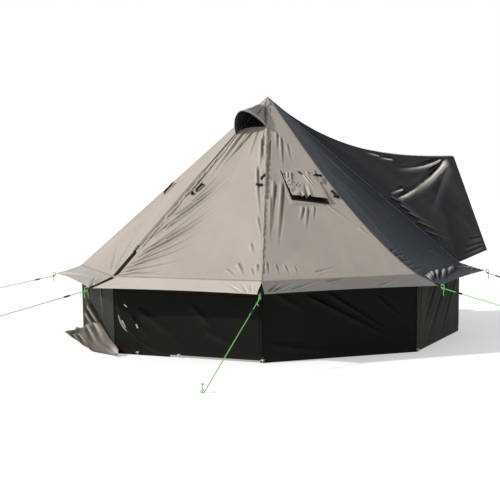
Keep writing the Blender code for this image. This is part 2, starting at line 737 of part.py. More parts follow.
# Vent, port and flap
def build_vent():
    frame = roof_frame(SIDE_AZIMUTH["southwest"])
    base = CLOTH / 2 + FIT

    def place(across, along):
        turn = math.pi * (across - 0.5)
        side = math.sin(turn)
        brim = ROOF_LENGTH - HOOD_BRIM + HOOD_SKEW * side
        top = ROOF_LENGTH - HOOD_TOP
        y = top + (brim - top) * along
        half = half_width(EAVE, APEX, y) - HOOD_SIDE_MARGIN
        share = (ROOF_LENGTH - y) / HOOD_BRIM
        return Vector((side * half, y, base + HOOD_LIFT * share * math.cos(turn)))

    cloth_sheet("vent_hood", HOOD_ACROSS_STEPS, HOOD_UP_STEPS, lambda s, t: place(1 - s, t), HOOD_CLOTH, frame)
    outline_plate("vent_mesh", [vent_outline(-SEAM_GAP)], CLOTH / 2, MESH_NET, frame)


def build_port_and_flap():
    frame = roof_frame(SIDE_AZIMUTH["south"])
    patch_low = CLOTH / 2 + FIT
    shape = bmesh.new()
    add_box(shape, (-PORT_WIDTH / 2, PORT_LOW, patch_low),
            (PORT_WIDTH / 2, PORT_HIGH, patch_low + PORT_PATCH_THICKNESS))
    bmesh_object("stove_port_patch", shape, BLACK_WEBBING, frame)

    lift = patch_low + PORT_PATCH_THICKNESS + FIT + CLOTH / 2

    def place(across, down):
        x = (across - 0.5) * FLAP_WIDTH
        length = FLAP_LENGTH + FLAP_SLANT * (across - 0.5)
        return Vector((x, -down * length, FLAP_FLARE * down * down))

    hinge = frame @ Matrix.Translation((0, PORT_HIGH, lift))
    cloth_sheet("rain_flap", FLAP_STEPS, FLAP_STEPS, lambda s, t: place(1 - s, t), TAN_CLOTH, hinge)


# Apex and pole
def build_apex_cap():
    lift = (CLOTH / 2 + FIT) / math.cos(ROOF_SLOPE)
    drop = (APEX_HEIGHT - EAVE_HEIGHT) / EAVE_RADIUS
    skin = CAP_CLOTH / math.cos(ROOF_SLOPE)
    inner = APEX_HEIGHT + lift
    profile = [(0.0, inner + skin), (CAP_RADIUS, inner + skin - CAP_RADIUS * drop),
               (CAP_RADIUS, inner - CAP_RADIUS * drop), (0.0, inner)]
    turned("apex_cap", profile, HOOD_CLOTH, SIDES, Matrix.Rotation(HALF_ANGLE, 4, "Z"))
    return inner, drop


def build_pole():
    cap_inner, cap_drop = build_apex_cap()
    bore = POLE_RADIUS - POLE_WALL
    upper = bore - FIT
    upper_bore = upper - UPPER_WALL
    cup = POLE_RADIUS + FIT
    turned("pole_foot", foot_profile(cup), BLACK_PLASTIC, ROUND_STEPS)
    low = FOOT_DISC_HEIGHT / 2 + FIT
    turned("pole_lower", tube_profile(POLE_RADIUS, bore, low, POLE_JOINT_HEIGHT), ALUMINIUM, ROUND_STEPS)
    plug_top = cap_inner - FIT - upper * cap_drop / math.cos(HALF_ANGLE)
    tube_top = plug_top - PLUG_FLANGE - FIT
    turned("pole_upper", tube_profile(upper, upper_bore, UPPER_POLE_BOTTOM, tube_top), ALUMINIUM, ROUND_STEPS)
    spigot = upper_bore - FIT
    turned("pole_top_plug", [(0.0, plug_top), (upper, plug_top), (upper, plug_top - PLUG_FLANGE),
                             (spigot, plug_top - PLUG_FLANGE), (spigot, tube_top - PLUG_SPIGOT),
                             (0.0, tube_top - PLUG_SPIGOT)], BLACK_PLASTIC, ROUND_STEPS)
    build_clamp(cup)


def foot_profile(cup):
    """The pole foot: a disc with a cup that the lower tube stands in."""
    floor = FOOT_DISC_HEIGHT / 2
    return [(0.0, floor), (cup, floor), (cup, FOOT_CUP_HEIGHT), (cup + FOOT_CUP_WALL, FOOT_CUP_HEIGHT),
            (cup + FOOT_CUP_WALL, FOOT_DISC_HEIGHT), (FOOT_DISC_RADIUS, FOOT_DISC_HEIGHT),
            (FOOT_DISC_RADIUS, 0.0), (0.0, 0.0)]


def tube_profile(outer, inner, low, high):
    return [(outer, high), (outer, low), (inner, low), (inner, high)]


def build_clamp(cup):
    """The clamp collar round the lower tube's top, and the lever on its ears."""
    top = POLE_JOINT_HEIGHT
    collar_outer = cup + COLLAR_WALL
    collar = turned("pole_clamp", tube_profile(collar_outer, cup, top - COLLAR_HEIGHT, top), BLACK_PLASTIC,
                    ROUND_STEPS)
    pin = Vector((0, collar_outer + EAR_REACH / 2 + KNUCKLE_RADIUS / 2, top - KNUCKLE_RADIUS * 2))
    for hand in (-1, 1):
        shape = bmesh.new()
        near = hand * EAR_SPACING / 2
        far = hand * (EAR_SPACING / 2 + EAR_THICKNESS)
        add_box(shape, (min(near, far), collar_outer - COLLAR_WALL / 2, top - KNUCKLE_RADIUS * 4),
                (max(near, far), pin.y + KNUCKLE_RADIUS, top - KNUCKLE_RADIUS / 2))
        side = "west" if hand < 0 else "east"
        ear = as_cutter(bmesh_object("clamp_ear_" + side, shape, BLACK_PLASTIC, None, CUTTERS))
        apply_boolean(collar, ear, "UNION")
    reach = EAR_SPACING / 2 + EAR_THICKNESS
    hole = cutter_cylinder("clamp_pin_hole", LEVER_PIN_RADIUS + FIT, pin - Vector((reach * 2, 0, 0)),
                           pin + Vector((reach * 2, 0, 0)), SMALL_STEPS)
    apply_boolean(collar, hole, "DIFFERENCE")

    knuckle_half = EAR_SPACING / 2 - FIT
    shape = bmesh.new()
    add_cylinder(shape, LEVER_PIN_RADIUS, (-reach, 0, 0), (reach, 0, 0), SMALL_STEPS)
    lever = bmesh_object("clamp_lever", shape, STEEL, Matrix.Translation(pin))
    shape = bmesh.new()
    add_cylinder(shape, KNUCKLE_RADIUS, (-knuckle_half, 0, 0), (knuckle_half, 0, 0), SMALL_STEPS)
    knuckle = as_cutter(bmesh_object("lever_knuckle", shape, STEEL, Matrix.Translation(pin), CUTTERS))
    apply_boolean(lever, knuckle, "UNION")
    shape = bmesh.new()
    arm_half = knuckle_half - LEVER_SHOULDER
    add_box(shape, (-arm_half, -LEVER_THICKNESS / 2, -LEVER_LENGTH), (arm_half, LEVER_THICKNESS / 2, 0.0))
    arm = as_cutter(bmesh_object("lever_arm", shape, STEEL, Matrix.Translation(pin), CUTTERS))
    apply_boolean(lever, arm, "UNION")


# Eave tabs and guy lines
def tip_frame(azimuth):
    return frame_between(azimuth, TIP, EAVE, corner=True)


TAB_LIFT = CLOTH / 2 / math.cos(seam_bend(TIP, EAVE)) + FIT
EYELET = Vector((0, -EYELET_AT, TAB_LIFT + TAB_THICKNESS / 2))


def build_eave_tab(corner):
    """A webbing tab over the valance's tip, with the eyelet that a guy line's eye goes through."""
    frame = tip_frame(CORNER_AZIMUTH[corner])
    hole_radius = CORD_RADIUS + EYELET_PLAY
    outside = EYELET_AT + hole_radius + TAB_STRAP
    shape = bmesh.new()
    add_box(shape, (-TAB_WIDTH / 2, -outside, TAB_LIFT), (TAB_WIDTH / 2, TAB_INSIDE, TAB_LIFT + TAB_THICKNESS))
    name = "eave_tab_" + corner
    tab = bmesh_object(name, shape, BLACK_WEBBING, frame)
    hole = cutter_cylinder(name + "_eyelet", hole_radius, EYELET - Vector((0, 0, TAB_THICKNESS * 2)),
                           EYELET + Vector((0, 0, TAB_THICKNESS * 2)), SMALL_STEPS, frame)
    apply_boolean(tab, hole, "DIFFERENCE")


def eye_points(middle, outward, up):
    """An open eye: from the line's end, tangent to it, round to just short of the line again.

    outward points from the line into the eye and up from the line to the eye's middle.
    """
    points = []
    for k in range(1, EYE_POINTS + 1):
        turn = math.radians(-90 + EYE_SWEEP * k / EYE_POINTS)
        points.append(middle + EYE_RADIUS * (math.cos(turn) * outward + math.sin(turn) * up))
    return points


def guy_layout(guy):
    """Start and heading of a guy line's straight run, its length, and the up side of its two eyes."""
    eyelet = tip_frame(CORNER_AZIMUTH[guy.corner]) @ EYELET
    staked = guy.length is None
    target = Vector((guy.ground_x, guy.ground_y, GUY_EYE_HEIGHT if staked else 0.0))
    heading = (target - eyelet).normalized()
    side = heading.cross(Vector((0, 0, 1))).normalized()
    up = side.cross(heading)
    start = eyelet + EYE_RADIUS * (heading - up)
    length = (target - start).dot(heading) if staked else guy.length
    return start, heading, length, up, side if staked else up


def build_guy(guy):
    start, heading, length, up, far_up = guy_layout(guy)
    finish = start + heading * length
    points = list(reversed(eye_points(start + EYE_RADIUS * up, -heading, up)))
    points += [start.lerp(finish, k / (CORD_POINTS - 1)) for k in range(CORD_POINTS)]
    points += eye_points(finish + EYE_RADIUS * far_up, heading, far_up)
    cord_tube("guy_line_" + guy.corner, points, CORD_RADIUS, GREEN_CORD)
    build_runner(guy, start, heading)
    if guy.length is None:
        flat = Vector((heading.x, heading.y, 0)).normalized()
        reach = EYE_RADIUS * heading.dot(flat) - CORD_RADIUS - PEG_RADIUS - FIT
        peg = finish + EYE_RADIUS * far_up + reach * flat
        turned("guy_peg", peg_profile(GUY_PEG_HEIGHT), PEG_GREY, SMALL_STEPS,
               Matrix.Translation((peg.x, peg.y, 0)))


def build_runner(guy, start, heading):
    """The runner that tensions a guy line, bored to slide on it."""
    frame = heading.to_track_quat("Y", "Z").to_matrix().to_4x4()
    frame.translation = start + heading * guy.runner_at
    shape = bmesh.new()
    half = Vector((RUNNER_WIDTH, RUNNER_LENGTH, RUNNER_HEIGHT)) / 2
    add_box(shape, -half, half)
    name = "guy_runner_" + guy.corner
    item = bmesh_object(name, shape, BLACK_PLASTIC, frame)
    edge = item.modifiers.new("edges", "BEVEL")
    edge.width = RUNNER_EDGE
    edge.segments = 1
    bore = cutter_cylinder(name + "_bore", CORD_RADIUS + FIT, (0, -RUNNER_LENGTH, 0), (0, RUNNER_LENGTH, 0),
                           ROUND_STEPS, frame)
    apply_boolean(item, bore, "DIFFERENCE")


# Pegs at the wall's foot
def peg_profile(height):
    """A round-headed peg, as much of it as stands above the ground."""
    under = height - PEG_HEAD_HEIGHT
    crown = PEG_HEAD_RADIUS - PEG_HEAD_HEIGHT / 2
    return [(0.0, height), (crown, height), (PEG_HEAD_RADIUS, height - PEG_HEAD_HEIGHT / 2),
            (PEG_HEAD_RADIUS, under), (PEG_RADIUS, under), (PEG_RADIUS, 0.0), (0.0, 0.0)]


def build_pegs():
    """The pegs that hold the wall's hem: one outside each front corner and two beside the door."""
    stand = PEG_HEAD_RADIUS + FIT
    inset = seam_inset(FOOT, EAVE)
    wall_radius = FOOT_RADIUS + (EAVE_RADIUS - FOOT_RADIUS) * PEG_HEIGHT / EAVE_HEIGHT
    for corner in ("ssw", "sse"):
        face = wall_radius + CLOTH / 2 * math.cos(HALF_ANGLE) - inset * math.sin(HALF_ANGLE)
        turned("wall_peg_" + corner, peg_profile(PEG_HEIGHT), PEG_GREY, SMALL_STEPS,
               Matrix.Translation(ring_point(face + stand, CORNER_AZIMUTH[corner], 0.0)))
    turn = Matrix.Rotation(math.radians(SIDE_AZIMUTH["southwest"]), 4, "Z")
    face = wall_radius * math.cos(HALF_ANGLE) + CLOTH / 2
    for side, along in DOOR_PEGS_AT.items():
        turned("door_peg_" + side, peg_profile(PEG_HEIGHT), PEG_GREY, SMALL_STEPS,
               turn @ Matrix.Translation((face + stand, along, 0)))


def build_skirt():
    """The loose cloth that spreads on the ground outside the west wall, in soft folds."""
    wall = FOOT_RADIUS * math.cos(HALF_ANGLE)
    reach_y = FOOT_RADIUS * math.sin(HALF_ANGLE)

    def place(across, out):
        y = (1 - 2 * across) * (reach_y + SKIRT_OVERHANG * out)
        swell = math.sin(math.pi * across)
        ripple = SKIRT_FOLD * math.cos(2 * math.pi * SKIRT_FOLDS * across) * swell
        top = SKIRT_TOP + SKIRT_RISE * swell
        fall = (1 - out) ** 2
        lean = (EAVE_RADIUS - FOOT_RADIUS) * top / EAVE_HEIGHT
        x = wall + lean + CLOTH + FIT + SKIRT_REACH * out + abs(ripple) * math.sin(math.pi * out)
        z = CLOTH / 2 + HEM_HEIGHT + (top - CLOTH) * fall + (ripple + SKIRT_FOLD) * out * (1 - out) * 2
        return Vector((-x, y, z))

    cloth_sheet("ground_skirt_west", SKIRT_ACROSS_STEPS, SKIRT_UP_STEPS, lambda s, t: place(s, 1 - t),
                SKIRT_CLOTH)


build_roof()
build_valance()
build_walls()
build_door()
build_roof_zip()
build_sleeve()
build_vent()
build_port_and_flap()
build_pole()
for line in GUYS:
    build_eave_tab(line.corner)
    build_guy(line)
build_pegs()
build_skirt()
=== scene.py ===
import functools
import math

import bmesh
import bpy
import numpy as np
from mathutils import Matrix, Vector


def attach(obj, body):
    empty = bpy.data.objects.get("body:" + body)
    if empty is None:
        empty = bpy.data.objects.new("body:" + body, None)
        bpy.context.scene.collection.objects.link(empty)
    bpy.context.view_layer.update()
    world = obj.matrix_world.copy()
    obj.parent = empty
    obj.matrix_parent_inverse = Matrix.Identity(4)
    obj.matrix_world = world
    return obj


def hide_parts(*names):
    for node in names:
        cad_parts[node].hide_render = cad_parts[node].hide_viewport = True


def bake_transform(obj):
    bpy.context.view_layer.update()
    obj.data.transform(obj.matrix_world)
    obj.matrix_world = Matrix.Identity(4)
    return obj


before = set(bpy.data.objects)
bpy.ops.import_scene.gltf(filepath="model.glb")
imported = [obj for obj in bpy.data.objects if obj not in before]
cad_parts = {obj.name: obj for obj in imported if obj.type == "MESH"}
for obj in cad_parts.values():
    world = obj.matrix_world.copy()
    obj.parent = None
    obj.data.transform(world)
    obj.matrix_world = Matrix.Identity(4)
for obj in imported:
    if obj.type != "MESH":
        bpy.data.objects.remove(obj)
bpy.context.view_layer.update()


def new_object(name, data):
    """An object of the given data, linked into the scene."""
    item = bpy.data.objects.new(name, data)
    bpy.context.scene.collection.objects.link(item)
    return item


# The view: a long lens at eye height in front of the door side, a little to the left of the middle.
# The awning's own heading is turned by 22.5 degrees from the view, so three of its walls show.
camera_data = bpy.data.cameras.new("view")
camera_data.lens = 78.5
camera_data.sensor_width = 36.0
camera_data.shift_x = -0.0383
camera_data.clip_end = 200.0
camera = new_object("view", camera_data)
view_azimuth = math.radians(-110.566)
view_pitch = -0.064
view_roll = -0.010
view_distance, view_height = 12.081, 1.687
ahead = Vector((-math.cos(view_azimuth) * math.cos(view_pitch), -math.sin(view_azimuth) * math.cos(view_pitch),
                math.sin(view_pitch)))
rightward = ahead.cross(Vector((0, 0, 1))).normalized()
upward = rightward.cross(ahead)
view_x = rightward * math.cos(view_roll) + upward * math.sin(view_roll)
view_y = upward * math.cos(view_roll) - rightward * math.sin(view_roll)
placing = Matrix((view_x, view_y, -ahead)).transposed().to_4x4()
placing.translation = Vector((view_distance * math.cos(view_azimuth), view_distance * math.sin(view_azimuth),
                              view_height))
camera.matrix_world = placing
bpy.context.scene.camera = camera
bpy.context.scene.view_settings.view_transform = "Standard"


# Colours and nodes: every colour is written as it looks on a screen and turned to linear light once.
# Each material is a Principled surface whose patterns are sized in metres on the cloth's own map.
def linear(colour):
    """sRGB hex to linear red, green, blue, alpha by the screen standard's curve."""
    parts = [int(colour[k:k + 2], 16) / 255 for k in (1, 3, 5)]
    return tuple(p / 12.92 if p <= 0.04045 else ((p + 0.055) / 1.055) ** 2.4 for p in parts) + (1.0,)


def output_of(value):
    """A node's mixed colour, its grey or else its first output; any other value as it is."""
    if not isinstance(value, bpy.types.Node):
        return value
    if value.bl_idname == "ShaderNodeMix":
        return value.outputs[2]
    return value.outputs["Fac"] if "Fac" in value.outputs else value.outputs[0]


def add(tree, kind, settings=None, **inputs):
    """Add a node, set its properties, and give each named or numbered input a value or a link."""
    item = tree.nodes.new("ShaderNode" + kind)
    for key, value in (settings or {}).items():
        setattr(item, key, value)
    for key, value in inputs.items():
        socket = item.inputs[int(key[1:]) if key[1:].isdigit() else key.replace("_", " ")]
        value = output_of(value)
        if isinstance(value, bpy.types.NodeSocket):
            tree.links.new(value, socket)
        else:
            socket.default_value = value
    return item


def calc(tree, operation, *values):
    """A sum, product or the like of nodes' outputs and numbers."""
    return add(tree, "Math", {"operation": operation}, **{"i%d" % k: value for k, value in enumerate(values)})


def remap(tree, value, low, high, at_low, at_high):
    """One range of values onto another."""
    return add(tree, "MapRange", i0=value, i1=low, i2=high, i3=at_low, i4=at_high)


def mix(tree, share, first, second):
    """One colour into another by a share; each is a hex text or a node's output."""
    first, second = (linear(c) if isinstance(c, str) else c for c in (first, second))
    return add(tree, "Mix", {"data_type": "RGBA"}, i0=share, i6=first, i7=second)


def new_surface(name):
    made = bpy.data.materials.new(name)
    made.use_nodes = True
    made.node_tree.nodes.clear()
    return made, made.node_tree


def surface(made, tree, **look):
    """Close a material with one Principled surface of the given look."""
    add(tree, "OutputMaterial", Surface=add(tree, "BsdfPrincipled", **look))
    return made


def cloth_map(tree):
    return add(tree, "UVMap", {"uv_map": "cloth"})


# The floor and light: a pale studio floor that keeps the shadow, a soft high lamp from the left, and a
# white surround that the camera and mirrored light see as white.
white = (1.0, 1.0, 1.0, 1.0)
floor_mesh = bpy.data.meshes.new("floor")
floor_mesh.from_pydata([(x, y, -0.002) for x, y in ((-60, -60), (60, -60), (60, 60), (-60, 60))], [], [(0, 1, 2, 3)])
floor = new_object("floor", floor_mesh)
floor_paint, tree = new_surface("pale_floor")
paths = add(tree, "LightPath")
seen = calc(tree, "MAXIMUM", paths.outputs["Is Camera Ray"], paths.outputs["Is Glossy Ray"])
seen = calc(tree, "MAXIMUM", seen, paths.outputs["Is Transmission Ray"])
matte = add(tree, "BsdfDiffuse", Color=(0.80, 0.80, 0.80, 1.0))
glow = add(tree, "Emission", Color=white, Strength=0.42)
none = add(tree, "Emission", Color=white, Strength=0.0)
lifted = add(tree, "MixShader", i0=seen, i1=none, i2=glow)
add(tree, "OutputMaterial", Surface=add(tree, "AddShader", i0=matte, i1=lifted))
floor_mesh.materials.append(floor_paint)

surround = bpy.data.worlds.new("surround")
bpy.context.scene.world = surround
surround.use_nodes = True
tree = surround.node_tree
tree.nodes.clear()
paths = add(tree, "LightPath")
seen = calc(tree, "MAXIMUM", paths.outputs["Is Camera Ray"], paths.outputs["Is Transmission Ray"])
soft = add(tree, "Background", Color=(0.93, 0.96, 1.0, 1.0), Strength=0.40)
bare = add(tree, "Background", Color=white, Strength=1.0)
add(tree, "OutputWorld", Surface=add(tree, "MixShader", i0=seen, i1=soft, i2=bare))

lamp_data = bpy.data.lights.new("high_lamp", "SUN")
lamp_data.energy = 2.60
lamp_data.angle = math.radians(3.0)
lamp_data.color = (1.0, 0.975, 0.94)
lamp = new_object("high_lamp", lamp_data)
lamp_turn, lamp_rise = math.radians(174), math.radians(35)
lamp_from = Vector((math.cos(lamp_turn) * math.cos(lamp_rise), math.sin(lamp_turn) * math.cos(lamp_rise),
                    math.sin(lamp_rise)))
lamp.rotation_euler = lamp_from.to_track_quat("Z", "Y").to_euler()


# Sizes of the solids, in metres and radians: eave, apex, drawn-out tip and foot are each a radius and a height at
# a corner, and the corners' azimuths are in degrees.
half_angle = math.pi / 8
cloth = 0.003
hair = 0.0003
cord_radius = 0.004
eye_radius = 0.017
eyelet_y = -0.014
eave = (2.10, 0.76)
apex = (0.0, 2.60)
tip = (2.377, 0.667)
foot = (2.09, 0.0005)
corners = dict(zip(("ene", "nne", "nnw", "wnw", "wsw", "ssw", "sse", "ese"), np.arange(22.5, 360, 45).tolist()))


def ring(radius, azimuth, height):
    """A point at a radius and compass azimuth, at a height."""
    turn = math.radians(azimuth)
    return np.array([radius * math.cos(turn), radius * math.sin(turn), height])


def unit(v):
    return v / np.linalg.norm(v)


def stack(*parts):
    """Coordinates side by side in a last axis, spread over each other's shape."""
    return np.stack(np.broadcast_arrays(*parts), axis=-1)


def lattice(down, across):
    """Two grids of evenly spaced values: (first, last, count) down the rows and (first, last, count) along them."""
    return np.meshgrid(np.linspace(*down), np.linspace(*across), indexing="ij")


def least(*parts):
    return functools.reduce(np.minimum, parts)


def side_frame(azimuth, lower, upper, share=math.cos(half_angle)):
    """Origin and three axes at the foot of a slope: along the side, up the slope, and outwards."""
    start = ring(lower[0] * share, azimuth, lower[1])
    rise = unit(ring(upper[0] * share, azimuth, upper[1]) - start)
    along = np.cross([0.0, 0.0, 1.0], ring(1.0, azimuth, 0.0))
    return start, along, rise, np.cross(along, rise)


def seam_frame(corner, lower, upper):
    """The same at the foot of a corner's seam, which lies at the full radius."""
    return side_frame(corners[corner], lower, upper, 1.0)


def place(where, x, y, z):
    """Points of a side's frame in the awning's own frame, for whole arrays or single values."""
    o, a, b, c = where
    x, y, z = np.broadcast_arrays(x, y, z)
    return o + np.multiply.outer(x, a) + np.multiply.outer(y, b) + np.multiply.outer(z, c)


def seam_bend(lower, upper):
    """Half the angle by which two neighbouring sides turn at their seam."""
    tilt = math.atan2(upper[1] - lower[1], (lower[0] - upper[0]) * math.cos(half_angle))
    return math.acos(math.sin(tilt) ** 2 * math.cos(2 * half_angle) + math.cos(tilt) ** 2) / 2


def link_mesh(name, verts, faces, material, chart):
    """Put whole arrays of points and faces into a mesh object at the origin, smooth, with a map in metres."""
    mesh = bpy.data.meshes.new(name)
    faces = faces if isinstance(faces, list) else faces.tolist()
    mesh.from_pydata(np.asarray(verts).reshape(-1, 3).tolist(), [], faces)
    layer = mesh.uv_layers.new(name="cloth")
    corner = np.zeros(len(mesh.loops), dtype=np.int32)
    mesh.loops.foreach_get("vertex_index", corner)
    layer.data.foreach_set("uv", np.asarray(chart).reshape(-1, 2)[corner].astype(np.float32).ravel())
    mesh.materials.append(material)
    mesh.shade_smooth()
    return new_object(name, mesh)


def thicken(item, thick, offset=0.0):
    skin = item.modifiers.new("thickness", "SOLIDIFY")
    skin.thickness, skin.offset = thick, offset


def sewn(item, body="shelter", nodes=()):
    """Declare a piece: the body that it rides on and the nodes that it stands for."""
    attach(item, body)
    if nodes:
        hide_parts(*nodes)
    return item


def grid_faces(rows, cols, flip=False, wrap=False):
    """Quads of a grid of rows by cols points; wrap joins the last row's side to the first."""
    base = np.arange(rows * cols).reshape(rows, cols)
    if wrap:
        base = np.hstack([base, base[:, :1]])
    quads = np.stack([base[:-1, :-1], base[:-1, 1:], base[1:, 1:], base[1:, :-1]], axis=-1).reshape(-1, 4)
    return quads[:, ::-1] if flip else quads


def travel(path):
    """Distance run along a path up to each of its points."""
    return np.concatenate([[0.0], np.cumsum(np.linalg.norm(np.diff(path, axis=0), axis=1))])


def tube(name, path, radius, sides, material):
    """A closed round tube along a path: each ring is turned from the last by the least twist."""
    path = np.asarray(path, dtype=float)
    ahead_of = np.gradient(path, axis=0)
    ahead_of /= np.linalg.norm(ahead_of, axis=1, keepdims=True)
    across = np.cross(ahead_of[0], [0.0, 0.0, 1.0])
    across = across if np.linalg.norm(across) > 1e-6 else np.array([1.0, 0.0, 0.0])
    sides_of = []
    for t in ahead_of:
        across = unit(across - t * across.dot(t))
        sides_of.append(across)
    first = np.array(sides_of)
    second = np.cross(ahead_of, first)
    turn = np.linspace(0, 2 * np.pi, sides, endpoint=False)
    radii = np.broadcast_to(np.asarray(radius, dtype=float), (len(path),))[:, None, None]
    c, s = np.cos(turn)[None, :, None], np.sin(turn)[None, :, None]
    rings = path[:, None] + radii * (c * first[:, None] + s * second[:, None])
    verts = np.vstack([rings.reshape(-1, 3), path[:1], path[-1:]])
    quads = grid_faces(len(path), sides, wrap=True, flip=True).tolist()
    last = len(path) * sides
    quads += [[k, (k + 1) % sides, last] for k in range(sides)]
    quads += [[last - sides + (k + 1) % sides, last - sides + k, last + 1] for k in range(sides)]
    run = travel(path)
    chart = np.stack(np.meshgrid(run, turn * np.mean(radius), indexing="ij"), axis=-1).reshape(-1, 2)
    chart = np.vstack([chart, [[run[0], 0.0], [run[-1], 0.0]]])
    return link_mesh(name, verts, quads, material, chart)


# Guy lines: braided polyester cord, bright green so that nobody trips on it, tied at the eave tips. Each
# has an open eye through its tab's eyelet, runs straight, and ends in an eye at its peg or outside the view.
# Two crossing twists on the cord's own map give the plait, with a soft satin sheen.
green_cord, tree = new_surface("braided_green_polyester")
twists = [add(tree, "TexWave", Vector=add(tree, "Mapping", Vector=cloth_map(tree), Rotation=(0, 0, lean)), Scale=90.0)
          for lean in (0.8, -0.8)]
plait = calc(tree, "MAXIMUM", *twists)
surface(green_cord, tree, Base_Color=mix(tree, plait, "#4FB24A", "#8FEA80"), Roughness=0.5, Sheen_Weight=0.25,
        Normal=add(tree, "Bump", Strength=0.5, Distance=0.0006, Height=plait))
guy_paths = {}
tab_lift = cloth / 2 / math.cos(seam_bend(tip, eave)) + hair
guys = {"wnw": (-5.060, 2.096, 0.82), "wsw": (-4.961, -1.030, 0.98), "ssw": (-1.720, -3.080, None),
        "sse": (2.677, -4.125, 0.72), "ese": (3.991, -1.653, 0.33)}
for corner, (ground_x, ground_y, length) in guys.items():
    at_tip = seam_frame(corner, tip, eave)
    eyelet = at_tip[0] + at_tip[2] * eyelet_y + at_tip[3] * (tab_lift + 0.001)
    staked = length is None
    target = np.array([ground_x, ground_y, 0.026 if staked else 0.0])
    heading = unit(target - eyelet)
    sideways = unit(np.cross(heading, [0.0, 0.0, 1.0]))
    lift = np.cross(sideways, heading)
    start = eyelet + eye_radius * (heading - lift)
    length = (target - start) @ heading if staked else length
    far_lift = sideways if staked else lift
    finish = start + heading * length
    turns = np.radians(-90 + 285 * np.arange(1, 19) / 18)[:, None]
    near_eye = start + eye_radius * lift + eye_radius * (np.cos(turns) * -heading + np.sin(turns) * lift)
    far_eye = finish + eye_radius * far_lift + eye_radius * (np.cos(turns) * heading + np.sin(turns) * far_lift)
    straight = start + (finish - start) * np.linspace(0, 1, 24)[:, None]
    path = np.vstack([near_eye[::-1], straight, far_eye])
    line = sewn(tube("guy_cord_" + corner, path, cord_radius, 10, green_cord),
                nodes=["guy_line_" + corner])
    float(travel(path)[-1])
    guy_paths[corner] = (start, heading, lift, sideways)


# Cloth: a woven polyester whose sheets hang or stretch between their seams. Every sheet is a grid of
# points with its own map in metres, so the weave keeps its size however the sheet is folded.
def mm(*creases):
    """Creases in metres from rows of millimetres: both ends, width, depth, bow; an eighth is a share as it is."""
    return [tuple(v / 1000 for v in row[:7]) + row[7:] for row in creases]


def furrow(x, y, x0, y0, x1, y1, width, depth, bow=0.0, start=0.12):
    """A crease along a slightly bowed line: a groove with a softer ridge beside it, dying out at both ends.

    Gives the height, and as painted shade and painted highlight how deep in the groove each point lies and how
    high on the ridge, both from 0 to 1.
    """
    run = math.hypot(x1 - x0, y1 - y0)
    t = ((x - x0) * (x1 - x0) + (y - y0) * (y1 - y0)) / run ** 2
    off = ((x - x0) * (y1 - y0) - (y - y0) * (x1 - x0)) / run - bow * 4 * t * (1 - t)
    fade = np.clip(t / start, 0, 1) * np.clip((1 - t) / (1 - start), 0, 1)
    fade = fade * fade * (3 - 2 * fade)
    groove = np.exp(-(off / width) ** 2)
    ridge = np.exp(-((off - 1.5 * width) / width) ** 2)
    tone = fade * min(depth / 0.012, 1.0)
    return depth * fade * (0.75 * ridge - groove), groove * tone, ridge * tone


def crease_all(x, y, lines, room, calm, gain=1.0):
    """All creases of a sheet, quiet near its edges: their height and painted shade, below 0 for painted highlight."""
    height, dark, light = np.zeros_like(x), np.zeros_like(x), np.zeros_like(x)
    for line in lines:
        rise, groove, ridge = furrow(x, y, *line)
        height += gain * rise
        dark, light = np.maximum(dark, groove), np.maximum(light, ridge)
    quiet = smooth((room - 0.004) / calm)
    return height * quiet, (dark - light * (1 - dark)) * quiet


def ripples(x, y, direction, spacing, seed, count=7):
    """Faint pulls in the cloth: long waves of a few spacings running one way, each with its own phase."""
    pick = np.random.default_rng(seed)
    c, s = math.cos(math.radians(direction)), math.sin(math.radians(direction))
    along, across = x * c + y * s, -x * s + y * c
    total = np.zeros_like(x)
    for _ in range(count):
        step = spacing * pick.uniform(0.6, 2.2)
        a, b, d, e = pick.uniform(0, 2 * np.pi, 4)
        wander = 0.9 * np.sin(along / (spacing * pick.uniform(3, 7)) + d)
        swell = 0.5 + 0.5 * np.sin(along / (spacing * pick.uniform(4, 9)) + across / (spacing * 6) + e)
        total += np.sin(2 * np.pi * across / step + a + wander) * swell * step / spacing
        total += 0.3 * np.sin(2 * np.pi * along / (spacing * 9) + b)
    return total / count


def smooth(t):
    t = np.clip(t, 0, 1)
    return t * t * (3 - 2 * t)


def slope_length(lower, upper):
    return math.hypot((lower[0] - upper[0]) * math.cos(half_angle), upper[1] - lower[1])


def half_width(lower, upper, up):
    """Half a side's width at a distance up its slope, seam to seam."""
    return (lower[0] + (upper[0] - lower[0]) * up / slope_length(lower, upper)) * math.sin(half_angle)


thread_width = 0.0016


